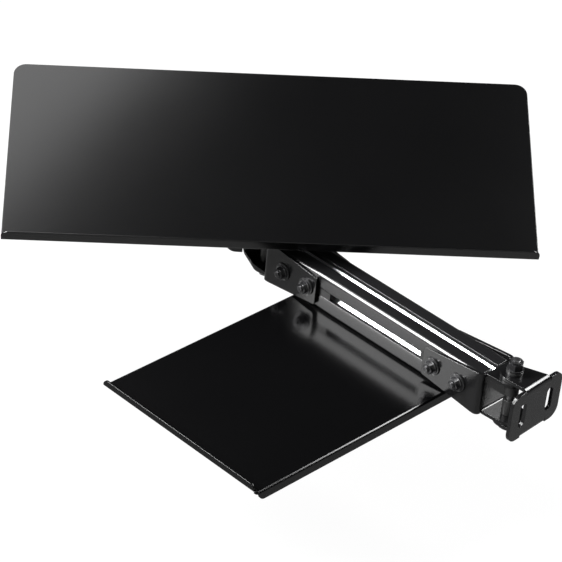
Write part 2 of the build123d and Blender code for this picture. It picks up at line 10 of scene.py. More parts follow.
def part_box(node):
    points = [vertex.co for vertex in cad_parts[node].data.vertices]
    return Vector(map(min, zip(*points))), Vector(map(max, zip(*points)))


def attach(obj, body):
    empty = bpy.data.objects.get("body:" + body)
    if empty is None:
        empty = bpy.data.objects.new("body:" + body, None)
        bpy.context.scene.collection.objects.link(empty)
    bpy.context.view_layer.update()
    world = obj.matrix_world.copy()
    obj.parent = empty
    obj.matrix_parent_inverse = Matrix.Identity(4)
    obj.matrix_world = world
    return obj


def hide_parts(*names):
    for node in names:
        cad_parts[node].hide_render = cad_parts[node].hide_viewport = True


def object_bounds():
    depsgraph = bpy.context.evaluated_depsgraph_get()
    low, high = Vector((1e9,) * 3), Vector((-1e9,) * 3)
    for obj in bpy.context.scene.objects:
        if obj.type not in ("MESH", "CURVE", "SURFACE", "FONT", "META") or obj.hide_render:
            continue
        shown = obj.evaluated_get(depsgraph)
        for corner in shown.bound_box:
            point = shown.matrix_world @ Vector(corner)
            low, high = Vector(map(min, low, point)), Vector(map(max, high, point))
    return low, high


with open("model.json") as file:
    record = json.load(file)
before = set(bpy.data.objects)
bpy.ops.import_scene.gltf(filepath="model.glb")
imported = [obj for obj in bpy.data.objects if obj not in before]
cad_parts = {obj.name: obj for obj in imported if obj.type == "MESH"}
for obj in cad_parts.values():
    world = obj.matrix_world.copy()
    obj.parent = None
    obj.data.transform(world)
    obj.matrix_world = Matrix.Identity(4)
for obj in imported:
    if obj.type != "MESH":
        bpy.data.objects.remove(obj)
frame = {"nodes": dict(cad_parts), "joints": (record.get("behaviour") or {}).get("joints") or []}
cad_low, cad_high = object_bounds()

bl_info = {
    "name": "Keyboard and Mouse Tray",
    "version": (1, 0, 0),
    "blender": (4, 5, 0),
    "location": "View3D > Sidebar > Tray Arm",
    "description": "Models, finishes and lights a swinging keyboard and mouse tray",
    "category": "Add Mesh",
}

MM = 0.001
QUARTER = math.pi / 2
UP = Vector((0, 0, 1))
FORWARD = Vector((0, -1, 0))
HALF_TURN = Matrix.Rotation(math.pi, 4, "X")
# A corner is rounded by a little less than its whole edge, so that it never closes up.
JUST_UNDER = 0.998
# Edges that turn by more than this many degrees are rounded on the trays.
TRAY_EDGE_ANGLE = 50.0
# How far the cutters run past the arm's ends.
PAST_END = 5 * MM
JOINTS = {joint["name"]: joint for joint in frame["joints"]}


def length(name, description, millimetres):
    """A size in the scene's metres, given in millimetres."""
    return bpy.props.FloatProperty(
        name=name, description=description, default=millimetres * MM, min=0.0,
        subtype="DISTANCE", unit="LENGTH", precision=4,
    )


def share(name, description, default):
    """A value from nothing to full."""
    return bpy.props.FloatProperty(
        name=name, description=description, default=default, min=0.0, max=1.0, subtype="FACTOR"
    )


def colour(name, description, red, green, blue):
    """A surface colour."""
    return bpy.props.FloatVectorProperty(
        name=name, description=description, default=(red, green, blue), size=3, min=0.0, max=1.0,
        subtype="COLOR",
    )


def power(name, description, watts):
    """The power of a light."""
    return bpy.props.FloatProperty(
        name=name, description=description, default=watts, min=0.0, unit="POWER"
    )


class TrayArmBrackets(bpy.types.PropertyGroup):
    """Sizes of the formed steel brackets at both ends of the arm."""

    sheet: length("Sheet", "Thickness of the formed steel", 3.5)
    bend: length("Bend", "Outside radius of every bend", 5.0)
    relief: length("Relief", "Width of the slits beside an ear's bend", 0.6)
    relief_past_bend: length("Relief past bend", "How far the slits run past the bend", 0.8)
    edge_round: length("Edge round", "Radius that the coating leaves on cut edges", 0.35)
    pin_to_web: length("Pin to web", "From the hinge bolt's axis to the clevis's web", 18.0)
    clevis_ear_root: length("Clevis ear root", "Width of a clevis ear at the web", 35.5)
    clevis_ear_radius: length("Clevis ear radius", "Radius of a clevis ear round the hinge bolt", 16.5)
    plate_flat: length("Plate flat", "Full-height stretch of a side plate beside the web", 7.5)
    plate_end: length("Plate end", "Height of a side plate at its free end", 30.0)
    plate_corner: length("Plate corner", "Corner radius at a side plate's free end", 3.0)
    face_corner: length("Face corner", "Corner radius of the slotted face", 11.5)
    face_end_step: length("Face end step", "From an ear's outer side to the face's ends beside it", 1.4)
    ear_root: length("Ear root", "Width of a swing bracket ear at the face", 36.5)
    ear_radius: length("Ear radius", "Radius of a swing bracket ear round the hinge bolt", 13.5)
    slot_pitch: length("Slot pitch", "Distance between the two upright slots", 40.0)
    slot_width: length("Slot width", "Width of an upright slot", 9.0)
    slot_height: length("Slot height", "Height of an upright slot", 26.0)
    bush_hole: length("Bush hole", "Hole for a bush in a clevis ear", 11.1)
    bolt_hole: length("Bolt hole", "Hole for the hinge bolt in a swing bracket ear", 8.4)
    stud_hole: length("Stud hole", "Hole for a stud in a side plate", 6.6)


class TrayArmTrays(bpy.types.PropertyGroup):
    """Sizes of the two folded trays."""

    sheet: length("Sheet", "Thickness of the trays", 2.0)
    fold: length("Fold", "Outside radius of every fold", 2.6)
    edge_round: length("Edge round", "Radius that the coating leaves on cut edges", 0.6)
    fold_margin: length("Fold margin", "Flat sheet between a fold and its slit", 0.2)
    slit: length("Slit", "Width of the slits that part two lips at a corner", 0.5)
    front_lip: length("Front lip", "Height of the keyboard tray's raised front lip", 13.7)
    lip_corner: length("Lip corner", "Radius at both ends of that lip's free edge", 7.0)
    back_corner: length("Back corner", "Radius of the keyboard tray's two back corners", 12.5)
    weld_stud: length("Weld stud", "Diameter of the studs under the keyboard tray", 5.0)
    weld_thread: length("Weld stud thread", "Pitch of those studs' thread", 0.8)
    weld_stud_length: length("Weld stud length", "How far those studs stand out", 11.7)
    weld_pitch_across: length("Stud pitch across", "Distance between those studs along the tray", 52.0)
    weld_pitch_along: length("Stud pitch along", "Distance between those studs across the tray", 62.0)
    mouse_side_lip: length("Mouse tray side lip", "Height of the mouse tray's hanging side lips", 10.2)
    mouse_side_corner: length("Side lip corner", "Radius at both ends of a side lip's free edge", 8.2)
    mouse_left_short: length("Left lip short", "How much later the left side lip starts than the right", 4.0)
    mouse_front_lip: length("Mouse tray front lip", "Height of the mouse tray's raised front lip", 7.9)
    mouse_front_corner: length("Front lip corner", "Radius at both ends of that lip's free edge", 5.9)
    mouse_front_short: length("Front lip short", "From that lip's end to the tray's side", 4.0)
    mouse_corner: length("Mouse tray corner", "Radius of the flat corner beside that lip", 2.7)
    mouse_bolt_pitch: length("Mouse tray bolt pitch", "Distance between the mouse tray's bolts", 70.0)


class TrayArmProfile(bpy.types.PropertyGroup):
    """Section of the arm's slotted extrusion."""

    corner: length("Corner", "Radius of the section's corners", 4.0)
    mouth: length("Slot mouth", "Width of a slot's mouth", 8.2)
    bevel_width: length("Bevel width", "Width of the bevel beside a mouth", 2.8)
    bevel_depth: length("Bevel depth", "Depth of that bevel at the mouth", 0.5)
    lip: length("Slot lip", "Depth of the lips that a slot bar bears on", 4.5)
    inner_width: length("Inner width", "Width of a slot behind its lips", 20.5)
    straight: length("Straight", "Height of the slot's upright inner sides", 1.8)
    depth: length("Slot depth", "Full depth of a slot", 12.25)
    core_bore: length("Core bore", "Diameter of the bore along the middle", 6.8)
    corner_hollow: length("Corner hollow", "Diameter of the hollow in each corner", 5.0)
    corner_hollow_place: length("Hollow place", "Place of that hollow from the middle, each way", 14.6)
    coat_reach: length("Coat reach", "How far the black coat reaches into a slot", 2.0)
    edge_round: length("Edge round", "Radius on the extrusion's sharp edges", 0.2)


class TrayArmFixings(bpy.types.PropertyGroup):
    """Sizes of the studs, bolts, nuts and washers."""

    stud: length("Stud", "Diameter of the studs", 6.0)
    stud_thread: length("Stud thread", "Pitch of the studs' thread", 1.0)
    stud_first: length("First stud", "From the web to the first stud", 27.0)
    stud_pitch: length("Stud pitch", "From one stud to the next", 32.0)
    stud_nut: length("Stud nut", "Size across the flats of a stud's nut", 10.0)
    stud_nut_height: length("Stud nut height", "Height of that nut", 6.0)
    stud_nut_flange: length("Stud nut flange", "Diameter of that nut's flange", 14.2)
    stud_nut_flange_thickness: length("Flange thickness", "Thickness of that flange", 1.2)
    washer: length("Washer", "Thickness of the steel washers", 1.6)
    washer_hole: length("Washer hole", "Hole of a stud's washer", 6.6)
    washer_size: length("Washer size", "Diameter of a stud's washer", 18.0)
    hinge_bolt: length("Hinge bolt", "Diameter of the hinge bolts", 8.0)
    hinge_thread: length("Hinge thread", "Pitch of the hinge bolts' thread", 1.25)
    hinge_head: length("Hinge head", "Size across the flats of a hinge bolt's head and nut", 13.0)
    hinge_head_height: length("Head height", "Height of a hinge bolt's head", 5.3)
    hinge_nut_height: length("Lock nut height", "Height of a lock nut's hexagon", 6.6)
    hinge_collar: length("Lock nut collar", "Diameter of a lock nut's collar", 11.6)
    hinge_collar_height: length("Collar height", "Height of that collar", 1.4)
    hinge_washer: length("Hinge washer", "Diameter of the hinge's steel washers", 16.0)
    thrust_washer: length("Thrust washer", "Diameter of the plastic washer between the ears", 23.0)
    spring_thickness: length("Disc spring", "Thickness of one disc spring, rise included", 1.3)
    bush: length("Bush", "Outside diameter of a hinge bush", 13.5)
    bush_bore: length("Bush bore", "Bore of a hinge bush", 8.2)
    bush_start: length("Bush start", "From the middle of the hinge to a bush", 3.0)


class TrayArmFinish(bpy.types.PropertyGroup):
    """Colours and gloss of the part's surfaces."""

    bracket_black: colour("Bracket black", "Coat of the formed brackets", 0.003, 0.003, 0.0032)
    bracket_gloss: share("Bracket roughness", "Roughness of that coat", 0.19)
    tray_black: colour("Tray black", "Coat of the keyboard tray", 0.001, 0.001, 0.0011)
    tray_gloss: share("Tray roughness", "Roughness of that coat", 0.20)
    mouse_black: colour("Mouse tray black", "Coat of the mouse tray", 0.001, 0.001, 0.0011)
    mouse_gloss: share("Mouse tray roughness", "Roughness of that coat", 0.17)
    arm_black: colour("Arm black", "Coat on the outside of the extrusion", 0.005, 0.005, 0.0053)
    arm_gloss: share("Arm roughness", "Roughness of that coat", 0.21)
    aluminium: colour("Bare aluminium", "Metal that shows inside the slots", 0.90, 0.91, 0.92)
    oxide: colour("Black oxide", "Finish of the bolts, nuts and washers", 0.030, 0.030, 0.032)
    oxide_gloss: share("Oxide roughness", "Roughness of that finish", 0.34)
    bar_black: colour("Bar black", "Finish of the slot bars", 0.008, 0.008, 0.0085)
    spring_grey: colour("Spring grey", "Oiled steel of the disc springs", 0.18, 0.18, 0.18)
    nylon: colour("Nylon", "Black plastic of bushes and thrust washers", 0.012, 0.012, 0.012)


class TrayArmStudio(bpy.types.PropertyGroup):
    """Camera, floor and lights."""

    camera_place: bpy.props.FloatVectorProperty(
        name="Camera place", description="Where the camera stands", size=3,
        default=(0.99156, -1.59294, 1.33463), subtype="TRANSLATION", unit="LENGTH",
    )
    camera_turn: bpy.props.FloatVectorProperty(
        name="Camera turn", description="How the camera is turned", size=3,
        default=tuple(math.radians(angle) for angle in (56.479, -4.929, 42.624)),
        subtype="EULER", unit="ROTATION",
    )
    lens: bpy.props.FloatProperty(
        name="Lens", description="Focal length in millimetres", default=160.13, unit="CAMERA"
    )
    floor_drop: length("Floor drop", "From the part's lowest point to the floor", 120.0)
    floor_pale: colour("Floor", "Colour of the floor", 0.82, 0.82, 0.82)
    floor_glow: share("Floor glow", "How much of the floor's white the camera sees evenly", 0.95)
    floor_mirror: share("Floor in reflections", "How bright the floor is where the part reflects it", 0.34)
    side_light: power("Side light", "Power of the tall strip at the left", 84.0)
    tray_light: power("Tray light", "Power of the soft light over the keyboard tray's left end", 3.8)
    back_light: power("Back light", "Power of the strip behind the part", 34.0)
    fill_light: power("Fill light", "Power of the soft light beside the camera", 4.0)
    room: share("Room", "Brightness of the room around the part", 0.015)


# Places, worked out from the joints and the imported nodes


def axes(x_axis, z_axis, origin):
    """The matrix that carries a piece drawn at the world's origin to its place."""
    z = z_axis.normalized()
    x = (x_axis - x_axis.dot(z) * z).normalized()
    place = Matrix((x, z.cross(x), z)).transposed().to_4x4()
    place.translation = origin
    return place


def widest_side(node, behind):
    """The direction that the node's widest flat side faces, away from a point behind it."""
    facing = defaultdict(Vector)
    for polygon in frame["nodes"][node].data.polygons:
        facing[tuple(round(part, 3) for part in polygon.normal)] += polygon.normal * polygon.area
    normal = max(facing.values(), key=lambda total: total.length).normalized()
    low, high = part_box(node)
    return normal if normal.dot((low + high) / 2 - behind) > 0 else -normal


def box_in(place, node):
    """Lowest and highest corners of a node, measured along the axes of a place."""
    inverse = place.inverted()
    points = [inverse @ vertex.co for vertex in frame["nodes"][node].data.vertices]
    low = Vector(min(point[axis] for point in points) for axis in range(3))
    high = Vector(max(point[axis] for point in points) for axis in range(3))
    return low, high


MOUNT_PIN = Vector(JOINTS["mount_swivel"]["pos_m"])
KEYBOARD_PIN = Vector(JOINTS["keyboard_swivel_hinge"]["pos_m"])
TRAY_PIVOT = Vector(JOINTS["keyboard_tilt"]["pos_m"])
ARM_AXIS = Vector(JOINTS["mouse_tray_slide"]["axis"])
TILT_AXIS = Vector(JOINTS["keyboard_tilt"]["axis"])
FACE_AXIS = widest_side("keyboard_swing_bracket", KEYBOARD_PIN)

MOUNT_BRACKET = axes(Vector((1, 0, 0)), UP, MOUNT_PIN)
MOUNT_CLEVIS = axes(ARM_AXIS, UP, MOUNT_PIN)
KEYBOARD_CLEVIS = axes(-ARM_AXIS, UP, KEYBOARD_PIN)
KEYBOARD_BRACKET = axes(FACE_AXIS, UP, KEYBOARD_PIN)
TRAY = axes(TILT_AXIS, widest_side("keyboard_tray", TRAY_PIVOT), TRAY_PIVOT)
BRACKET_ENDS = (
    ("mount", MOUNT_BRACKET, MOUNT_CLEVIS, "mount"),
    ("keyboard", KEYBOARD_BRACKET, KEYBOARD_CLEVIS, "keyboard_swivel"),
)


# Modelling steps that the pieces share

NEAR = 0.01 * MM
MERGE = 0.002 * MM
CORNER_STEPS = 12
BEND_STEPS = 6
ROUND_SIDES = 72
PRIMITIVES = {
    "plane": bpy.ops.mesh.primitive_plane_add,
    "cube": bpy.ops.mesh.primitive_cube_add,
    "circle": bpy.ops.mesh.primitive_circle_add,
    "cylinder": bpy.ops.mesh.primitive_cylinder_add,
}


def select_only(*pieces):
    """Selects these objects and no other, and makes the first one active."""
    for other in bpy.context.selected_objects:
        other.select_set(False)
    for piece in pieces:
        piece.select_set(True)
    if pieces:
        bpy.context.view_layer.objects.active = pieces[0]


def keep_place():
    """Takes the place, turn and size of what is selected into its mesh."""
    bpy.ops.object.transform_apply(location=True, rotation=True, scale=True)


def start(kind, name, scale=(1, 1, 1), **settings):
    """Adds a primitive, takes its place and size into its mesh, and opens it in edit mode."""
    select_only()
    PRIMITIVES[kind](**settings)
    piece = bpy.context.active_object
    piece.name = piece.data.name = name
    piece.scale = scale
    keep_place()
    bpy.ops.object.mode_set(mode="EDIT")
    return piece


def reopen(piece):
    """Opens a closed shape in edit mode again."""
    select_only(piece)
    bpy.ops.object.mode_set(mode="EDIT")


def close():
    """Leaves edit mode."""
    bpy.ops.object.mode_set(mode="OBJECT")


def middle(element):
    """The middle of a vertex, edge or face."""
    if isinstance(element, bmesh.types.BMVert):
        return element.co.copy()
    return sum((vertex.co for vertex in element.verts), Vector()) / len(element.verts)


def near(value, wanted):
    """True within a hundredth of a millimetre."""
    return abs(value - wanted) < NEAR


def pick(piece, kind, test):
    """Selects the vertices, edges or faces that pass a test, and nothing else."""
    bpy.ops.mesh.select_mode(type=kind)
    bpy.ops.mesh.select_all(action="DESELECT")
    mesh = bmesh.from_edit_mesh(piece.data)
    for element in {"VERT": mesh.verts, "EDGE": mesh.edges, "FACE": mesh.faces}[kind]:
        if test(element):
            element.select_set(True)
    mesh.select_flush_mode()
    bmesh.update_edit_mesh(piece.data)


def pick_at(piece, kind, x=(), y=(), z=(), test=lambda element: True):
    """Selects what has its middle at one of the places given for each axis, and passes a test."""

    def wanted(element):
        spot = middle(element)
        return test(element) and all(
            not places or any(near(spot[axis], place) for place in places)
            for axis, places in enumerate((x, y, z))
        )

    pick(piece, kind, wanted)


def slice_at(axis, *places):
    """Cuts edges across the open mesh at each place along an axis."""
    direction = Vector(letter == axis for letter in "XYZ")
    for place in places:
        bpy.ops.mesh.select_all(action="SELECT")
        bpy.ops.mesh.bisect(plane_co=direction * place, plane_no=direction, threshold=0.001 * MM)


def pull(x=0.0, y=0.0, z=0.0):
    """Extrudes what is selected by this much."""
    bpy.ops.mesh.extrude_region_move(TRANSFORM_OT_translate={"value": (x, y, z)})


def shift(x=0.0, y=0.0, z=0.0):
    """Moves what is selected by this much."""
    bpy.ops.transform.translate(value=(x, y, z))


def squeeze(centre, x=1.0, y=1.0, z=1.0):
    """Scales what is selected about a point."""
    bpy.ops.transform.resize(value=(x, y, z), center_override=centre)


def round_off(affect, radius, steps):
    """Rounds the selected edges or corners."""
    bpy.ops.mesh.bevel(affect=affect, offset=radius, segments=steps, profile=0.5, clamp_overlap=True)


def modify(piece, kind, **settings):
    """Adds a modifier to a piece and applies it."""
    select_only(piece)
    modifier = piece.modifiers.new(kind.lower(), kind)
    for name, value in settings.items():
        setattr(modifier, name, value)
    bpy.ops.object.modifier_apply(modifier=modifier.name)


def combine(piece, tool, operation="DIFFERENCE"):
    """Cuts, adds or intersects with another shape, which is used up."""
    modify(piece, "BOOLEAN", operation=operation, solver="EXACT", object=tool)
    bpy.data.objects.remove(tool)
    return piece


def as_one(pieces):
    """Joins shapes into one object."""
    select_only(*pieces)
    if len(pieces) > 1:
        bpy.ops.object.join()
    return pieces[0]


def rod(radius, low, high, sides=48, axis="Z", at=(0.0, 0.0, 0.0)):
    """A plain bar along an axis, closed and in object mode, as a tool to cut or add with."""
    centre = Vector(at)
    centre["XYZ".index(axis)] += (low + high) / 2
    turn = {"X": (0, QUARTER, 0), "Y": (QUARTER, 0, 0), "Z": (0, 0, QUARTER)}[axis]
    piece = start(
        "cylinder", "rod", vertices=sides, radius=radius, depth=high - low, location=centre, rotation=turn
    )
    close()
    return piece


def seal(piece):
    """Merges doubles and turns every face outwards."""
    reopen(piece)
    bpy.ops.mesh.select_all(action="SELECT")
    bpy.ops.mesh.remove_doubles(threshold=MERGE)
    bpy.ops.mesh.normals_make_consistent(inside=False)
    close()


def thicken(piece, thickness, offset=0):
    """Closes an open sheet and gives it its thickness, to both sides or all to one."""
    close()
    modify(piece, "SOLIDIFY", thickness=thickness, offset=offset, use_even_offset=True)
    seal(piece)


def soften(piece, radius, steps=2, angle=38.0):
    """Rounds every sharp edge a little and keeps the flat sides flat in the shading."""
    modify(
        piece, "BEVEL", width=radius, segments=steps, limit_method="ANGLE",
        angle_limit=math.radians(angle), use_clamp_overlap=True, miter_outer="MITER_ARC",
    )
    select_only(piece)
    bpy.ops.object.shade_smooth_by_angle(angle=math.radians(angle))
    modify(piece, "WEIGHTED_NORMAL", weight=100, keep_sharp=True)
    return piece


def place_piece(piece, place, body, slot, material, *nodes):
    """Carries a finished piece to its place, dresses it, and lets it stand for its nodes."""
    select_only(piece)
    piece.matrix_world = place
    keep_place()
    if not piece.data.materials:
        piece.data.materials.append(bpy.data.materials[material])
    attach(piece, body)
    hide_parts(*nodes)


def set_out(name, model, spots):
    """Copies of a modelled shape, each with its own mesh, joined into one piece."""
    copies = []
    for spot in spots:
        copy = model.copy()
        copy.data = model.data.copy()
        bpy.context.scene.collection.objects.link(copy)
        copy.matrix_world = spot
        copies.append(copy)
    bpy.data.objects.remove(model)
    select_only(*copies)
    keep_place()
    piece = as_one(copies)
    piece.name = piece.data.name = name
    return piece


# The formed brackets


def cut_reliefs(piece, sizes, centre_y, centre_z, root, half_height, fold_height):
    """Opens the four slits beside the two ears in an upright face, and trims the ears' strip."""
    inside = root / 2
    outside = inside + sizes.relief
    depth = half_height - sizes.bend - sizes.relief_past_bend
    for side in (-1, 1):
        slice_at("Y", centre_y + side * inside, centre_y + side * outside)
        slice_at("Z", centre_z + side * depth, centre_z + side * fold_height)

    def spare(face):
        across, up = abs(middle(face).y - centre_y), abs(middle(face).z - centre_z)
        return across < outside and up > (fold_height if across < inside else depth)

    pick(piece, "FACE", spare)
    bpy.ops.mesh.delete(type="FACE")


def ear_corner(reach, half_root, radius):
    """How far a tangent from the ear's root stands from the middle, at the ear's end."""
    distance = math.hypot(reach, half_root)
    turn = math.atan2(half_root, reach) + math.acos(radius / distance)
    return radius / math.tan(turn / 2)


def pull_ear(piece, face_x, nose_x, centre_y, edge_z, root, radius, bend):
    """Folds one ear out of an upright face and rounds it about the hinge bolt's axis."""

    def pick_fold():
        pick_at(
            piece, "EDGE", x=(face_x,), z=(edge_z,),
            test=lambda edge: abs(edge.verts[0].co.y - edge.verts[1].co.y) > root / 2,
        )

    pick_fold()
    pull(x=nose_x - face_x)
    for end in (-1, 1):
        corner = ear_corner(abs(face_x), root / 2 + end * centre_y, radius)
        corner_y = centre_y + end * root / 2
        pick_at(piece, "VERT", x=(nose_x,), y=(corner_y,), z=(edge_z,))
        shift(y=end * corner - corner_y)
        round_off("VERTICES", corner * JUST_UNDER, CORNER_STEPS)
    pick_fold()
    round_off("EDGES", bend, BEND_STEPS)


def model_clevis(name, sizes, fixings, place, node):
    """End bracket of the arm, modelled about the hinge bolt's axis."""
    low, high = box_in(place, node)
    web_x = -sizes.pin_to_web
    fold = high.z - sizes.sheet
    root = sizes.clevis_ear_root
    piece = start(
        "plane", name, size=1, location=(web_x, 0, 0), rotation=(0, QUARTER, 0),
        scale=(2 * high.z, 2 * high.y, 1),
    )
    cut_reliefs(piece, sizes, 0.0, 0.0, root, high.z, fold)
    pick_at(piece, "EDGE", y=(-high.y, high.y))
    pull(x=low.x - web_x)
    slice_at("X", web_x - sizes.plate_flat)
    pick_at(piece, "VERT", x=(low.x,))
    squeeze((low.x, 0, 0), z=sizes.plate_end / (2 * high.z))
    pick_at(piece, "VERT", x=(low.x,), z=(-sizes.plate_end / 2, sizes.plate_end / 2))
    round_off("VERTICES", sizes.plate_corner, 5)
    for side in (-1, 1):
        pull_ear(
            piece, web_x, high.x, 0.0, side * fold, root, sizes.clevis_ear_radius, sizes.bend - sizes.sheet
        )
    pick_at(piece, "EDGE", x=(web_x,), y=(-high.y, high.y))
    round_off("EDGES", sizes.bend, BEND_STEPS)
    thicken(piece, sizes.sheet, offset=-1)
    holes = [rod(sizes.bush_hole / 2, 2 * low.z, 2 * high.z)]
    for number in range(2):
        place_x = web_x - fixings.stud_first - number * fixings.stud_pitch
        holes.append(rod(sizes.stud_hole / 2, 2 * low.y, 2 * high.y, axis="Y", at=(place_x, 0, 0)))
    return soften(combine(piece, as_one(holes)), sizes.edge_round)


def slot_tool(sizes, thickness_low, thickness_high, y, z):
    """A bar with rounded ends, upright, that opens one slot in the face."""
    tool = rod(sizes.slot_width / 2, thickness_low, thickness_high, axis="X", at=(0, y, z))
    reopen(tool)
    stretch = (sizes.slot_height - sizes.slot_width) / 2
    for side in (-1, 1):
        pick(tool, "VERT", lambda vertex: side * (vertex.co.z - z) > NEAR)
        shift(z=side * stretch)
    close()
    return tool


def model_swing_bracket(name, sizes, place, node):
    """The slotted face and its two ears, modelled about the hinge bolt's axis."""
    low, high = box_in(place, node)
    centre = (low + high) / 2
    half_height = (high.z - low.z) / 2
    half_face = half_height - sizes.face_end_step
    root = sizes.ear_root
    piece = start(
        "plane", name, size=1, location=(high.x, centre.y, centre.z), rotation=(0, QUARTER, 0),
        scale=(2 * half_face, high.y - low.y, 1),
    )
    pick_at(piece, "VERT")
    round_off("VERTICES", sizes.face_corner, CORNER_STEPS)
    cut_reliefs(piece, sizes, centre.y, centre.z, root, half_height, half_height)
    for side in (-1, 1):
        pick(
            piece, "VERT",
            lambda vertex: near(side * (vertex.co.z - centre.z), half_face)
            and abs(vertex.co.y - centre.y) < root / 2 + sizes.relief / 2,
        )
        shift(z=side * sizes.face_end_step)
        edge_z = centre.z + side * half_height
        pull_ear(piece, high.x, low.x, centre.y, edge_z, root, sizes.ear_radius, sizes.bend)
    thicken(piece, sizes.sheet, offset=-1)
    holes = [rod(sizes.bolt_hole / 2, 2 * low.z, 2 * high.z)]
    for side in (-1, 1):
        place_y = centre.y + side * sizes.slot_pitch / 2
        holes.append(slot_tool(sizes, high.x / 2, 2 * high.x, place_y, centre.z))
    return soften(combine(piece, as_one(holes)), sizes.edge_round)


class BuildBrackets(bpy.types.Operator):
    """Models the formed brackets at both ends of the arm"""

    bl_idname = "tray_arm.brackets"
    bl_label = "Formed Brackets"

    def execute(self, context):
        sizes = context.scene.tray_arm_brackets
        fixings = context.scene.tray_arm_fixings
        for end, bracket_place, clevis_place, bracket_body in BRACKET_ENDS:
            node = end + "_clevis"
            piece = model_clevis(end + "_end_bracket", sizes, fixings, clevis_place, node)
            place_piece(piece, clevis_place, "arm", "bracket_steel", "bracket_powder_coat", node)
            node = end + "_swing_bracket"
            piece = model_swing_bracket(end + "_slotted_bracket", sizes, bracket_place, node)
            place_piece(piece, bracket_place, bracket_body, "bracket_steel", "bracket_powder_coat", node)
        return {"FINISHED"}


# The two folded trays


def lip_edge(piece, sizes, outward, outer_face, sheet_z, after=-math.inf, before=math.inf):
    """Selects the sheet's open edges that a lip is folded from, between two places along it."""
    line = outer_face - sizes.fold - sizes.fold_margin
    along = 0 if outward.y else 1
    pick_at(
        piece, "EDGE", z=(sheet_z,),
        test=lambda edge: len(edge.link_faces) == 1
        and near(middle(edge).dot(outward), line)
        and after < middle(edge)[along] < before,
    )


def fold_lip(sizes, outward, rise):
    """Folds a lip from the selected edges, up for a positive height and down for a negative one."""
    half = sizes.sheet / 2
    flat = sizes.fold + sizes.fold_margin - half
    pull(x=outward.x * flat, y=outward.y * flat)
    pull(z=rise - math.copysign(half, rise))


def shape_lip(piece, sizes, outward, outer_face, sheet_z, rise, corner):
    """Rounds a lip's fold, and both ends of its free edge."""
    half = sizes.sheet / 2
    free_z = sheet_z + rise - math.copysign(half, rise)
    for kind, z, affect, radius, steps in (
        ("EDGE", sheet_z, "EDGES", sizes.fold - half, BEND_STEPS),
        ("VERT", free_z, "VERTICES", corner, 10),
    ):
        pick_at(
            piece, kind, z=(z,), test=lambda part: near(middle(part).dot(outward), outer_face - half)
        )
        round_off(affect, radius, steps)


def model_keyboard_tray(sizes, place):
    """Flat sheet with a raised lip along its front edge, drawn at the middle of the sheet."""
    low, high = box_in(place, "keyboard_tray")
    sheet_z = high.z - sizes.front_lip + sizes.sheet / 2
    flat_front = low.y + sizes.fold + sizes.fold_margin
    piece = start(
        "plane", "keyboard_tray_sheet", size=1,
        location=((low.x + high.x) / 2, (flat_front + high.y) / 2, sheet_z),
        scale=(high.x - low.x, high.y - flat_front, 1),
    )
    lip_edge(piece, sizes, FORWARD, -low.y, sheet_z)
    fold_lip(sizes, FORWARD, sizes.front_lip)
    shape_lip(piece, sizes, FORWARD, -low.y, sheet_z, sizes.front_lip, sizes.lip_corner)
    pick_at(piece, "VERT", y=(high.y,))
    round_off("VERTICES", sizes.back_corner, CORNER_STEPS)
    thicken(piece, sizes.sheet)
    return soften(piece, sizes.edge_round, angle=TRAY_EDGE_ANGLE)


def model_mouse_tray(sizes, fixings, place):
    """Flat sheet with a raised front lip and a hanging lip along each side, drawn at its middle."""
    low, high = box_in(place, "mouse_tray")
    sheet_z = high.z - sizes.mouse_front_lip + sizes.sheet / 2
    line = sizes.fold + sizes.fold_margin
    front, left, right = low.y + line, low.x + line, high.x - line
    lip_end = high.x - sizes.mouse_front_short
    side_start = front + sizes.slit
    sides = {1: (high.x, side_start), -1: (-low.x, side_start + sizes.mouse_left_short)}
    piece = start(
        "plane", "mouse_tray_sheet", size=1,
        location=((low.x + high.x) / 2, (low.y + high.y) / 2, sheet_z),
        scale=(high.x - low.x, high.y - low.y, 1),
    )
    slice_at("X", left, right, lip_end, lip_end - sizes.slit)
    slice_at("Y", front, *(start_y for _, start_y in sides.values()))
    pick(piece, "FACE", lambda face: middle(face).y < front and middle(face).x < lip_end)
    bpy.ops.mesh.delete(type="FACE")
    lip_edge(piece, sizes, FORWARD, -low.y, sheet_z, before=lip_end - sizes.slit)
    fold_lip(sizes, FORWARD, sizes.mouse_front_lip)
    pick(piece, "FACE", lambda face: middle(face).y > front and not left < middle(face).x < right)
    bpy.ops.mesh.delete(type="FACE")
    for side, (outer_face, start_y) in sides.items():
        outward = Vector((side, 0, 0))
        lip_edge(piece, sizes, outward, outer_face, sheet_z, after=start_y)
        fold_lip(sizes, outward, -sizes.mouse_side_lip)
    bpy.ops.mesh.select_all(action="SELECT")
    bpy.ops.mesh.dissolve_limited(angle_limit=math.radians(0.1))
    shape_lip(piece, sizes, FORWARD, -low.y, sheet_z, sizes.mouse_front_lip, sizes.mouse_front_corner)
    for side in sorted(sides):
        shape_lip(
            piece, sizes, Vector((side, 0, 0)), sides[side][0], sheet_z, -sizes.mouse_side_lip,
            sizes.mouse_side_corner,
        )
    pick_at(piece, "VERT", x=(high.x,), y=(low.y,))
    round_off("VERTICES", sizes.mouse_corner, 4)
    bolts = [(low.x + high.x) / 2 + number * sizes.mouse_bolt_pitch for number in (-1, 0, 1)]
    around = fixings.washer_size / 2
    slice_at("X", *(bolt + side * around for bolt in bolts for side in (-1, 1)))
    slice_at("Y", -around, around)
    thicken(piece, sizes.sheet)
    holes = [rod(fixings.washer_hole / 2, 2 * low.z, low.z / 4, at=(bolt, 0, 0)) for bolt in bolts]
    return soften(combine(piece, as_one(holes)), sizes.edge_round, angle=TRAY_EDGE_ANGLE)


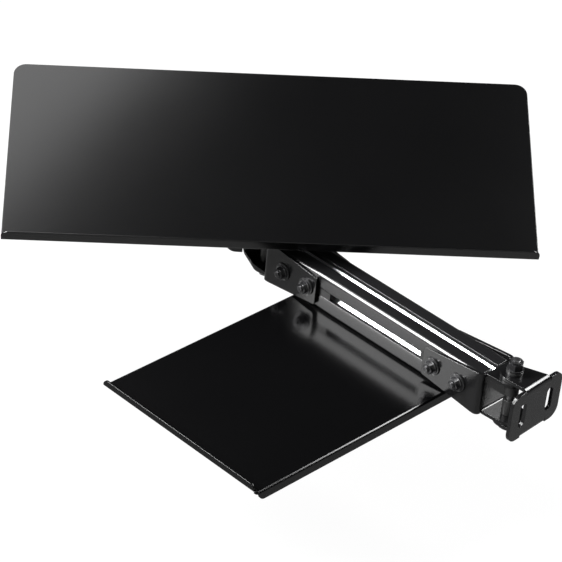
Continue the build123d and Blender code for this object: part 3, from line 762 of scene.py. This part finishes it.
class BuildTrays(bpy.types.Operator):
    """Models the keyboard tray and the mouse tray"""

    bl_idname = "tray_arm.trays"
    bl_label = "Trays"

    def execute(self, context):
        sizes = context.scene.tray_arm_trays
        piece = model_keyboard_tray(sizes, TRAY)
        place_piece(piece, TRAY, "keyboard_tray", "tray_steel", "tray_powder_coat", "keyboard_tray")
        underside = box_in(TRAY, "keyboard_tray")[1].z - sizes.front_lip
        stud = threaded_rod(sizes.weld_stud, sizes.weld_thread, 0, sizes.weld_stud_length)
        spots = [
            Matrix.Translation((x * sizes.weld_pitch_across / 2, y * sizes.weld_pitch_along / 2, underside))
            @ HALF_TURN
            for x in (-1, 1)
            for y in (-1, 1)
        ]
        studs = set_out("keyboard_tray_weld_studs", stud, spots)
        place_piece(studs, TRAY, "keyboard_tray", "tray_steel", "black_oxide", "keyboard_tray")
        piece = model_mouse_tray(sizes, context.scene.tray_arm_fixings, MOUNT_CLEVIS)
        place_piece(piece, MOUNT_CLEVIS, "mouse_tray", "tray_steel", "mouse_tray_powder_coat", "mouse_tray")
        return {"FINISHED"}


# The arm's extrusion


def slot_cutter(sizes, low, high, half):
    """The hollow of one T-slot, drawn for the top side and longer than the arm."""
    lip_floor = half - sizes.lip
    outside = half + 1 * MM
    bevel_floor = half - sizes.bevel_depth
    tool = start(
        "cube", "slot", size=1, location=((low + high) / 2, 0, (lip_floor + outside) / 2),
        scale=(high - low, sizes.mouth, outside - lip_floor),
    )
    slice_at("Z", bevel_floor)
    pick(tool, "FACE", lambda face: face.normal.z > 0.9)
    grown = sizes.mouth / 2 + sizes.bevel_width * (outside - bevel_floor) / sizes.bevel_depth
    squeeze((0, 0, outside), y=grown / (sizes.mouth / 2))
    pick_at(tool, "FACE", z=(lip_floor,))
    pull()
    squeeze((0, 0, lip_floor), y=sizes.inner_width / sizes.mouth)
    pull(z=-sizes.straight)
    taper = sizes.depth - sizes.lip - sizes.straight
    pull(z=-taper)
    squeeze((0, 0, half - sizes.depth), y=1 - 2 * taper / sizes.inner_width)
    close()
    seal(tool)
    return tool


def model_profile(sizes, place):
    """The slotted extrusion, rounded along its corners."""
    low, high = box_in(place, "arm_profile")
    half = high.z
    piece = start(
        "cube", "arm_extrusion", size=1, location=((low.x + high.x) / 2, 0, 0),
        scale=(high.x - low.x, 2 * half, 2 * half),
    )
    pick_at(piece, "EDGE", y=(-half, half), z=(-half, half))
    round_off("EDGES", sizes.corner, 10)
    close()
    cut_low, cut_high = low.x - PAST_END, high.x + PAST_END
    tools = [rod(sizes.core_bore / 2, cut_low, cut_high, axis="X")]
    for quarter in range(4):
        turn = Matrix.Rotation(quarter * QUARTER, 4, "X")
        tool = slot_cutter(sizes, cut_low, cut_high, half)
        tool.matrix_world = turn
        hollow = turn @ Vector((0, sizes.corner_hollow_place, sizes.corner_hollow_place))
        tools += [tool, rod(sizes.corner_hollow / 2, cut_low, cut_high, 24, "X", hollow)]
    select_only(*tools)
    keep_place()
    return soften(combine(piece, as_one(tools)), sizes.edge_round, angle=30.0)


def coat_profile(piece, sizes, half):
    """Gives the coat to the outside and the bare metal to what lies deeper in the slots."""
    for name in ("arm_powder_coat", "bare_aluminium"):
        piece.data.materials.append(bpy.data.materials[name])
    coat_floor = half - sizes.bevel_depth - sizes.coat_reach
    for polygon in piece.data.polygons:
        _, y, z = polygon.center
        polygon.material_index = int(max(abs(y), abs(z)) < coat_floor)


class BuildProfile(bpy.types.Operator):
    """Models the arm's slotted extrusion"""

    bl_idname = "tray_arm.profile"
    bl_label = "Arm Extrusion"

    def execute(self, context):
        sizes = context.scene.tray_arm_profile
        piece = model_profile(sizes, MOUNT_CLEVIS)
        coat_profile(piece, sizes, box_in(MOUNT_CLEVIS, "arm_profile")[1].z)
        place_piece(piece, MOUNT_CLEVIS, "arm", "arm_aluminium", "arm_powder_coat", "arm_profile")
        return {"FINISHED"}


# Fixings

RING_SIDES = 64
THREAD_STEPS = 24
# Depth of a thread as a share of its pitch.
THREAD_DEPTH = 0.58
# Share of a hexagon's width that is turned off its corners.
HEXAGON_TURNED = 0.055
UNTHREADED_END = 4 * MM
OVERLAP = 0.1 * MM


def ring(outer, inner, low, high, edge, rise=0.0):
    """A washer or bush along Z. With a rise its inner rim stands higher, as on a disc spring."""
    thickness = high - low - rise
    piece = start(
        "circle", "ring", vertices=RING_SIDES, radius=outer / 2, location=(0, 0, low + thickness / 2)
    )
    pick_at(piece, "EDGE")
    pull()
    squeeze((0, 0, 0), x=inner / outer, y=inner / outer)
    shift(z=rise)
    thicken(piece, thickness)
    return soften(piece, edge)


def hexagon(across, low, high):
    """A six-sided prism whose corners are turned down at both ends."""
    radius = across / math.sqrt(3)
    piece = rod(radius, low, high, sides=6)
    lathe = rod(radius, low, high, sides=ROUND_SIDES)
    reopen(lathe)
    pick_at(lathe, "EDGE", z=(low, high))
    round_off("EDGES", across * HEXAGON_TURNED, 1)
    close()
    return combine(piece, lathe, "INTERSECT")


def threaded_rod(diameter, pitch, low, high):
    """A threaded bar along Z with its upper end turned down."""
    major = diameter / 2
    depth = THREAD_DEPTH * pitch
    first = low - pitch
    piece = start(
        "plane", "thread", size=pitch, location=(major - depth - pitch / 2, 0, first),
        rotation=(QUARTER, 0, 0),
    )
    pick(piece, "VERT", lambda vertex: vertex.co.x < major - depth - pitch / 2)
    bpy.ops.mesh.delete(type="VERT")
    bpy.ops.mesh.select_all(action="SELECT")
    bpy.ops.mesh.subdivide(number_cuts=4)
    for reach, spread in ((0.4, 1.25), (0.2, 0.5)):
        pick(piece, "VERT", lambda vertex: abs(vertex.co.z - first) < reach * pitch)
        squeeze((0, 0, first), z=spread)
    shift(x=depth)
    close()
    modify(
        piece, "SCREW", axis="Z", angle=math.tau, screw_offset=pitch,
        iterations=math.ceil((high - low) / pitch) + 3, steps=THREAD_STEPS, render_steps=THREAD_STEPS,
        use_merge_vertices=True, merge_threshold=0.001 * MM,
    )
    seal(piece)
    bpy.ops.object.mode_set(mode="EDIT")
    for height, below in ((low, True), (high, False)):
        bpy.ops.mesh.select_all(action="SELECT")
        bpy.ops.mesh.bisect(
            plane_co=(0, 0, height), plane_no=(0, 0, 1), use_fill=True, clear_inner=below,
            clear_outer=not below, threshold=0.001 * MM,
        )
    slice_at("Z", high - depth)
    pick_at(piece, "VERT", z=(high,))
    squeeze((0, 0, high), x=1 - depth / major, y=1 - depth / major)
    close()
    seal(piece)
    bpy.ops.object.shade_smooth_by_angle(angle=math.radians(30))
    return piece


def hinge_bolt(sizes, thread_start, end):
    """Hexagon head below zero, plain shank, then thread up to the end."""
    radius, height = sizes.hinge_bolt / 2, sizes.hinge_head_height
    thread = threaded_rod(sizes.hinge_bolt, sizes.hinge_thread, thread_start, end)
    shank = rod(radius, -height / 2, thread_start + OVERLAP)
    head = hexagon(sizes.hinge_head, -height, 0)
    for piece in (shank, head):
        soften(piece, 0.12 * MM, steps=1, angle=50.0)
    return as_one([thread, shank, head])


def flange_nut(sizes):
    """Hexagon on a round flange, standing on zero."""
    height, flange = sizes.stud_nut_height, sizes.stud_nut_flange_thickness
    piece = hexagon(sizes.stud_nut, flange / 2, height)
    combine(piece, rod(sizes.stud_nut_flange / 2, 0, flange, sides=ROUND_SIDES), "UNION")
    combine(piece, rod(sizes.stud / 2, -height, 2 * height))
    return soften(piece, 0.25 * MM)


def lock_nut(sizes):
    """Hexagon with a round collar on top, standing on zero."""
    height = sizes.hinge_nut_height
    top = height + sizes.hinge_collar_height
    piece = hexagon(sizes.hinge_head, 0, height)
    combine(piece, rod(sizes.hinge_collar / 2, height / 2, top, sides=ROUND_SIDES), "UNION")
    combine(piece, rod(sizes.hinge_bolt / 2, -height, 2 * height))
    return soften(piece, 0.4 * MM, steps=3)


def raised(*heights):
    """One spot along Z for each height."""
    return [Matrix.Translation((0, 0, height)) for height in heights]


def both_ways(height):
    """Two spots at one height, the second turned over."""
    return raised(height) + [Matrix.Translation((0, 0, height)) @ HALF_TURN]


def stud_spots(sizes, web_x, height):
    """Both sides of the arm at each stud's place, Z pointing out of the arm."""
    return [
        Matrix.Translation((web_x - sizes.stud_first - number * sizes.stud_pitch, side * height, 0))
        @ Matrix.Rotation(-side * QUARTER, 4, "X")
        for number in range(2)
        for side in (-1, 1)
    ]


def fit(name, model, spots, place, body, node, slot="black_fixings", material="black_oxide"):
    """Sets copies of a fixing out and lets them stand for a node."""
    place_piece(set_out(name, model, spots), place, body, slot, material, node)


class BuildStudFixings(bpy.types.Operator):
    """Models the studs, washers and flange nuts that clamp the brackets to the arm"""

    bl_idname = "tray_arm.stud_fixings"
    bl_label = "Stud Fixings"

    def execute(self, context):
        sizes = context.scene.tray_arm_fixings
        web_x = -context.scene.tray_arm_brackets.pin_to_web
        for end, _, place, _ in BRACKET_ENDS:
            plate = box_in(place, end + "_clevis")[1].y
            stud_end = box_in(place, end + "_studs")[1].y
            washer = ring(sizes.washer_size, sizes.washer_hole, 0, sizes.washer, 0.25 * MM)
            thread = threaded_rod(sizes.stud, sizes.stud_thread, 0, stud_end - plate)
            stud = as_one([thread, rod(sizes.stud / 2, -plate / 3, OVERLAP)])
            for node, made, model, height in (
                ("_stud_washers", "_turned", washer, plate),
                ("_stud_nuts", "_turned", flange_nut(sizes), plate + sizes.washer),
                ("_studs", "_threaded", stud, plate),
            ):
                spots = stud_spots(sizes, web_x, height)
                fit(end + node + made, model, spots, place, "arm", end + node)
        return {"FINISHED"}


class BuildHingeFixings(bpy.types.Operator):
    """Models the bolt, nut, washers, springs and bushes of both hinges"""

    bl_idname = "tray_arm.hinge_fixings"
    bl_label = "Hinge Fixings"

    def execute(self, context):
        sizes = context.scene.tray_arm_fixings
        steel = context.scene.tray_arm_brackets
        bore = steel.bolt_hole
        plastic = ("bush_plastic", "black_nylon")
        for end, place, clevis_place, body in BRACKET_ENDS:
            hinge = end + "_hinge_"
            ear_low, ear_high = box_in(place, end + "_swing_bracket")
            bolt_end = box_in(place, hinge + "bolt")[1].z
            nut_low = box_in(place, hinge + "lock_nut")[0].z
            springs_low, springs_high = box_in(place, hinge + "disc_springs")
            thrust_low, thrust_high = box_in(place, hinge + "thrust_washer")
            clevis_top = box_in(clevis_place, end + "_clevis")[1].z
            head_top = ear_low.z - sizes.washer
            bolt = hinge_bolt(sizes, nut_low - head_top - UNTHREADED_END, bolt_end - head_top)
            fit(hinge + "bolt_threaded", bolt, raised(head_top), place, body, hinge + "bolt")
            fit(hinge + "nut_collared", lock_nut(sizes), raised(nut_low), place, body, hinge + "lock_nut")
            washer = ring(sizes.hinge_washer, bore, 0, sizes.washer, 0.3 * MM)
            spots = raised(head_top, ear_high.z, springs_high.z)
            fit(hinge + "washers_turned", washer, spots, place, body, hinge + "washers")
            thickness = sizes.spring_thickness
            spring = ring(sizes.hinge_washer, bore, 0, thickness, 0.12 * MM, rise=thickness / 3)
            spots = both_ways((springs_low.z + springs_high.z) / 2)
            fit(
                hinge + "disc_springs_coned", spring, spots, place, body, hinge + "disc_springs",
                "spring_steel", "spring_steel",
            )
            thrust = ring(sizes.thrust_washer, bore, thrust_low.z, thrust_high.z, 0.3 * MM)
            node = hinge + "thrust_washer"
            fit(node + "_moulded", thrust, raised(0), place, body, node, *plastic)
            ear_inside = clevis_top - steel.sheet
            bush = ring(sizes.bush, sizes.bush_bore, sizes.bush_start, ear_inside, 0.35 * MM)
            neck = ring(
                steel.bush_hole - 0.1 * MM, sizes.bush_bore, ear_inside, clevis_top - 0.2 * MM, 0.2 * MM
            )
            node = hinge + "bushes"
            fit(node + "_moulded", as_one([bush, neck]), both_ways(0), clevis_place, "arm", node, *plastic)
        return {"FINISHED"}


# Finishes

# Relief of the powder coat, and of drawn and blackened metal.
PEEL_DEPTH = 0.06 * MM
FINE_DEPTH = 0.02 * MM
# Radius that the powder coat seems to leave on an edge.
COAT_EDGE = 0.7 * MM
NODE_STEP = 180


def feed(tree, node, values):
    """Gives a node's inputs values, or other nodes' outputs."""
    for socket, value in values.items():
        if isinstance(value, bpy.types.NodeSocket):
            tree.links.new(value, node.inputs[socket])
        else:
            node.inputs[socket].default_value = value
    return node


def add_node(tree, kind, values=None, **settings):
    """Adds a node to the right of the others, sets its options and feeds it."""
    node = tree.nodes.new(kind)
    node.location = (NODE_STEP * len(tree.nodes), 0)
    for name, value in settings.items():
        setattr(node, name, value)
    return feed(tree, node, values or {})


def calculate(tree, operation, *values):
    """The result of a sum with values or other nodes' outputs."""
    return add_node(tree, "ShaderNodeMath", dict(enumerate(values)), operation=operation).outputs[0]


def noise_of(tree, vector, scale, **settings):
    """Plain noise at a scale, with its detail and roughness."""
    return add_node(tree, "ShaderNodeTexNoise", {"Vector": vector, "Scale": scale, **settings}).outputs["Fac"]


def spread_of(tree, value, **ends):
    """Spreads a value over another range, given by its ends."""
    ends = {name.replace("_", " "): end for name, end in ends.items()}
    return add_node(tree, "ShaderNodeMapRange", {"Value": value, **ends}).outputs["Result"]


def mix_of(tree, mask, dark, light):
    """A colour that goes from dark to light with a mask."""
    values = {"A": dark, "B": light, "Factor": mask}
    return add_node(tree, "ShaderNodeMix", values, data_type="RGBA").outputs["Result"]


def shade(base, amount=1.0):
    """A colour made darker or lighter, and solid."""
    return (*(part * amount for part in base), 1)


def new_group(name, values, outputs):
    """A shader node group that takes a vector and named values and puts out named values."""
    group = bpy.data.node_groups.new(name, "ShaderNodeTree")
    group.interface.new_socket("Vector", in_out="INPUT", socket_type="NodeSocketVector")
    for socket, default in values.items():
        made = group.interface.new_socket(socket, in_out="INPUT", socket_type="NodeSocketFloat")
        made.default_value = default
    for socket in outputs:
        group.interface.new_socket(socket, in_out="OUTPUT", socket_type="NodeSocketFloat")
    return group, add_node(group, "NodeGroupInput").outputs, add_node(group, "NodeGroupOutput")


def make_coat_texture():
    """Fine orange peel, a speckle on top of it, and slow changes over the sheet."""
    group, given, result = new_group(
        "Coat Texture", {"Grain": 900.0, "Patch": 9.0}, ("Height", "Speckle", "Patches")
    )
    vector, grain = given["Vector"], given["Grain"]
    peel = noise_of(group, vector, grain, Detail=3.0, Roughness=0.55)
    cells = add_node(
        group, "ShaderNodeTexVoronoi", {"Vector": vector, "Scale": grain}, feature="SMOOTH_F1"
    )
    feed(group, result, {
        "Height": calculate(group, "MULTIPLY_ADD", peel, 0.6, cells.outputs["Distance"]),
        "Speckle": spread_of(group, peel, From_Min=0.5, From_Max=0.72),
        "Patches": noise_of(group, vector, given["Patch"], Detail=2.0),
    })


def make_edge_highlight():
    """Painted highlight along the outer edges, where pointiness is high, broken up a little."""
    group, given, result = new_group(
        "Edge Wear", {"Start": 0.52, "End": 0.62, "Break Up": 220.0}, ("Edge",)
    )
    # Pointiness picks out the rounded edges that get the painted highlight.
    pointed = add_node(group, "ShaderNodeNewGeometry").outputs["Pointiness"]
    edge = spread_of(group, pointed, From_Min=given["Start"], From_Max=given["End"])
    patchy = noise_of(group, given["Vector"], given["Break Up"])
    feed(group, result, {"Edge": calculate(group, "MULTIPLY", edge, patchy)})


def make_drawn_lines():
    """Long fine lines along the X axis of the coordinates that it is given."""
    group, given, result = new_group("Drawn Lines", {"Across": 1600.0, "Along": 6.0}, ("Lines",))
    across = given["Across"]
    scale = add_node(group, "ShaderNodeCombineXYZ", {"X": given["Along"], "Y": across, "Z": across})
    stretched = add_node(
        group, "ShaderNodeVectorMath", {0: given["Vector"], 1: scale.outputs["Vector"]},
        operation="MULTIPLY",
    )
    feed(group, result, {"Lines": noise_of(group, stretched.outputs["Vector"], 1.0, Detail=4.0)})


def place_group(tree, name, vector, **values):
    """Places a node group in a material with its own values."""
    values = {socket.replace("_", " "): value for socket, value in values.items()}
    group = bpy.data.node_groups[name]
    return add_node(tree, "ShaderNodeGroup", {"Vector": vector, **values}, node_tree=group).outputs


def new_material(name, constants):
    """A material with its shader's constants set on the shader's own sockets."""
    material = bpy.data.materials.new(name)
    material.use_nodes = True
    tree = material.node_tree
    shader = feed(tree, tree.nodes["Principled BSDF"], constants)
    return tree, shader, add_node(tree, "ShaderNodeTexCoord").outputs["Object"]


def dress(tree, shader, colour_out, roughness_out, height, strength, depth, edge_round=0.0):
    """Gives a shader its colour, its roughness and its relief, over edges that may seem rounder."""
    relief = {"Strength": strength, "Distance": depth, "Height": height}
    if edge_round:
        edges = add_node(tree, "ShaderNodeBevel", {"Radius": edge_round}, samples=6)
        relief["Normal"] = edges.outputs["Normal"]
    bump = add_node(tree, "ShaderNodeBump", relief)
    made = {"Base Color": colour_out, "Roughness": roughness_out, "Normal": bump.outputs["Normal"]}
    feed(tree, shader, made)


def make_powder_coat(name, base, roughness, grain, relief, shine=0.5):
    """Satin black powder coat with fine peel."""
    tree, shader, vector = new_material(name, {"Specular IOR Level": shine, "IOR": 1.5})
    coat = place_group(tree, "Coat Texture", vector, Grain=grain, Patch=8.0)
    tone = mix_of(tree, coat["Speckle"], shade(base), shade(base, 1.9))
    rough = spread_of(tree, coat["Patches"], To_Min=roughness * 0.9, To_Max=roughness * 1.12)
    dress(tree, shader, tone, rough, coat["Height"], relief, PEEL_DEPTH, COAT_EDGE)


def make_metal(name, base, low_rough, high_rough, relief, turn=0.0):
    """Metal with fine drawn lines, turned about Z to run along a piece."""
    tree, shader, vector = new_material(name, {"Metallic": 1.0})
    turned = add_node(tree, "ShaderNodeMapping", {"Rotation": (0, 0, turn), "Vector": vector})
    lines = place_group(tree, "Drawn Lines", turned.outputs["Vector"])["Lines"]
    tone = mix_of(tree, lines, shade(base, 0.8), shade(base))
    rough = spread_of(tree, lines, To_Min=low_rough, To_Max=high_rough)
    dress(tree, shader, tone, rough, lines, relief, FINE_DEPTH)


def make_oxide(name, base, roughness, metallic, highlight_grey):
    """Blackened steel: dark, a little mottled, lightened along outer edges by a painted highlight."""
    tree, shader, vector = new_material(name, {"Metallic": metallic})
    mottle = place_group(tree, "Coat Texture", vector, Grain=2500.0, Patch=150.0)
    edge_highlight = place_group(tree, "Edge Wear", vector, Break_Up=900.0)
    plain = mix_of(tree, mottle["Patches"], shade(base, 0.6), shade(base, 1.3))
    # Painted highlight: the outer edges are lightened towards a set grey, standing in for glints on the
    # edges.
    tone = mix_of(tree, edge_highlight["Edge"], plain, shade([highlight_grey] * 3))
    rough = spread_of(tree, mottle["Patches"], To_Min=roughness * 0.8, To_Max=roughness * 1.25)
    dress(tree, shader, tone, rough, mottle["Height"], 0.15, FINE_DEPTH)


NODE_FINISHES = {
    "tilt_bracket": "bracket_powder_coat",
    "tray_bracket": "bracket_powder_coat",
    "mount_slot_bars": "black_bar_steel",
    "keyboard_slot_bars": "black_bar_steel",
    "mouse_tray_slot_nuts": "black_bar_steel",
    "tilt_ear_washers": "black_nylon",
}


class MakeFinishes(bpy.types.Operator):
    """Makes every material of the part"""

    bl_idname = "tray_arm.finishes"
    bl_label = "Finishes"

    def execute(self, context):
        finish = context.scene.tray_arm_finish
        arm_turn = -math.atan2(ARM_AXIS.y, ARM_AXIS.x)
        make_coat_texture()
        make_edge_highlight()
        make_drawn_lines()
        make_powder_coat(
            "bracket_powder_coat", finish.bracket_black, finish.bracket_gloss, grain=900.0, relief=0.35
        )
        make_powder_coat(
            "tray_powder_coat", finish.tray_black, finish.tray_gloss, grain=1300.0, relief=0.16
        )
        make_powder_coat(
            "mouse_tray_powder_coat", finish.mouse_black, finish.mouse_gloss, grain=1300.0, relief=0.10,
            shine=0.3,
        )
        make_powder_coat(
            "arm_powder_coat", finish.arm_black, finish.arm_gloss, grain=1100.0, relief=0.25
        )
        make_metal("bare_aluminium", finish.aluminium, 0.28, 0.42, relief=0.2, turn=arm_turn)
        make_metal("spring_steel", finish.spring_grey, 0.25, 0.4, relief=0.1)
        # The edge grey given here is a painted highlight on the edges, not wear.
        make_oxide("black_oxide", finish.oxide, finish.oxide_gloss, metallic=0.85, highlight_grey=0.35)
        make_oxide("black_bar_steel", finish.bar_black, 0.35, metallic=0.2, highlight_grey=0.02)
        make_powder_coat("black_nylon", finish.nylon, 0.48, grain=2200.0, relief=0.1)
        return {"FINISHED"}


class DressNodes(bpy.types.Operator):
    """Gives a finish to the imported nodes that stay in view"""

    bl_idname = "tray_arm.dress_nodes"
    bl_label = "Node Finishes"

    def execute(self, context):
        for name, node in frame["nodes"].items():
            material = bpy.data.materials[NODE_FINISHES.get(name, "black_oxide")]
            node.data.materials.clear()
            node.data.materials.append(material)
        return {"FINISHED"}


# The studio

# Each light is a soft strip: its low end, its high end and its width, in metres.
STRIPS = {
    "side_light": ((-0.93, -1.17, 0.40), (-0.93, -0.45, 1.40), 0.50),
    "tray_light": ((-0.98, -0.25, 0.85), (-0.98, 0.35, 0.85), 0.60),
    "back_light": ((-0.10, 0.95, 1.30), (0.90, 0.95, 0.88), 0.35),
    "fill_light": ((0.00, -1.20, 1.35), (1.00, -0.40, 1.35), 0.90),
}
FLOOR_WIDTH = 12
SENSOR_WIDTH = 36.0
CLIP_START, CLIP_END = 0.05, 50.0


def soft_strip(name, energy, target, low_end, high_end, width):
    """A soft rectangle of light between two places, facing the target."""
    low_end, high_end = Vector(low_end), Vector(high_end)
    along = (high_end - low_end).normalized()
    middle_place = (low_end + high_end) / 2
    back = middle_place - target
    light = bpy.data.lights.new(name, "AREA")
    light.shape = "RECTANGLE"
    light.size, light.size_y = (high_end - low_end).length, width
    light.energy = energy
    holder = bpy.data.objects.new(name, light)
    bpy.context.scene.collection.objects.link(holder)
    holder.matrix_world = axes(along, back - back.dot(along) * along, middle_place)


def make_floor(studio, height):
    """A wide pale floor that looks evenly white to the camera, and darker where the part reflects it."""
    floor = start("plane", "pale_floor", size=FLOOR_WIDTH, location=(0, 0, height))
    close()
    tree, shader, vector = new_material("pale_floor", {"Roughness": 0.9, "Specular IOR Level": 0.1})
    paper = place_group(tree, "Coat Texture", vector, Grain=300.0, Patch=1.5)
    tone = mix_of(tree, paper["Patches"], shade(studio.floor_pale, 0.98), shade(studio.floor_pale))
    feed(tree, shader, {"Base Color": tone})
    path = add_node(tree, "ShaderNodeLightPath").outputs
    seen = calculate(tree, "MULTIPLY", path["Is Camera Ray"], studio.floor_glow)
    even = calculate(tree, "MAXIMUM", seen, path["Is Glossy Ray"])
    strength = spread_of(tree, path["Is Glossy Ray"], To_Min=1.0, To_Max=studio.floor_mirror)
    glow = add_node(tree, "ShaderNodeEmission", {"Color": (1, 1, 1, 1), "Strength": strength})
    mixed = {"Fac": even, 1: shader.outputs["BSDF"], 2: glow.outputs["Emission"]}
    mix = add_node(tree, "ShaderNodeMixShader", mixed)
    feed(tree, tree.nodes["Material Output"], {"Surface": mix.outputs["Shader"]})
    floor.data.materials.append(bpy.data.materials["pale_floor"])


class BuildStudio(bpy.types.Operator):
    """Makes the pale floor, the soft lights and the camera"""

    bl_idname = "tray_arm.studio"
    bl_label = "Studio"

    def execute(self, context):
        scene, studio = context.scene, context.scene.tray_arm_studio
        centre = (cad_low + cad_high) / 2
        make_floor(studio, cad_low.z - studio.floor_drop)
        for name, strip in STRIPS.items():
            soft_strip(name, getattr(studio, name), centre, *strip)
        world = bpy.data.worlds.new("studio_room")
        world.use_nodes = True
        room = {"Color": (1, 1, 1, 1), "Strength": studio.room}
        feed(world.node_tree, world.node_tree.nodes["Background"], room)
        scene.world = world
        scene.view_settings.view_transform = "Standard"
        lens = bpy.data.cameras.new("studio_camera")
        lens.lens = studio.lens
        lens.sensor_width = SENSOR_WIDTH
        lens.clip_start, lens.clip_end = CLIP_START, CLIP_END
        camera = bpy.data.objects.new("studio_camera", lens)
        scene.collection.objects.link(camera)
        camera.location = studio.camera_place
        camera.rotation_euler = studio.camera_turn
        scene.camera = camera
        return {"FINISHED"}


class TrayArmPanel(bpy.types.Panel):
    """Lists the steps that build the tray arm's looks"""

    bl_idname = "VIEW3D_PT_tray_arm"
    bl_label = "Tray Arm"
    bl_space_type = "VIEW_3D"
    bl_region_type = "UI"
    bl_category = "Tray Arm"

    def draw(self, context):
        for step in STEPS:
            self.layout.operator(step.bl_idname)
        for group in GROUPS:
            settings = getattr(context.scene, group)
            box = self.layout.box()
            for name in settings.__annotations__:
                box.prop(settings, name)


GROUPS = {
    "tray_arm_brackets": TrayArmBrackets,
    "tray_arm_trays": TrayArmTrays,
    "tray_arm_profile": TrayArmProfile,
    "tray_arm_fixings": TrayArmFixings,
    "tray_arm_finish": TrayArmFinish,
    "tray_arm_studio": TrayArmStudio,
}
STEPS = (
    MakeFinishes, DressNodes, BuildBrackets, BuildTrays, BuildProfile, BuildStudFixings,
    BuildHingeFixings, BuildStudio,
)


def register():
    for kind in (*GROUPS.values(), *STEPS, TrayArmPanel):
        bpy.utils.register_class(kind)
    for name, group in GROUPS.items():
        setattr(bpy.types.Scene, name, bpy.props.PointerProperty(type=group))


def unregister():
    for name in GROUPS:
        delattr(bpy.types.Scene, name)
    for kind in reversed((*GROUPS.values(), *STEPS, TrayArmPanel)):
        bpy.utils.unregister_class(kind)


def main():
    register()
    bpy.ops.tray_arm.finishes()
    bpy.ops.tray_arm.dress_nodes()
    bpy.ops.tray_arm.brackets()
    bpy.ops.tray_arm.trays()
    bpy.ops.tray_arm.profile()
    bpy.ops.tray_arm.stud_fixings()
    bpy.ops.tray_arm.hinge_fixings()
    bpy.ops.tray_arm.studio()


if __name__ == "__main__":
    main()
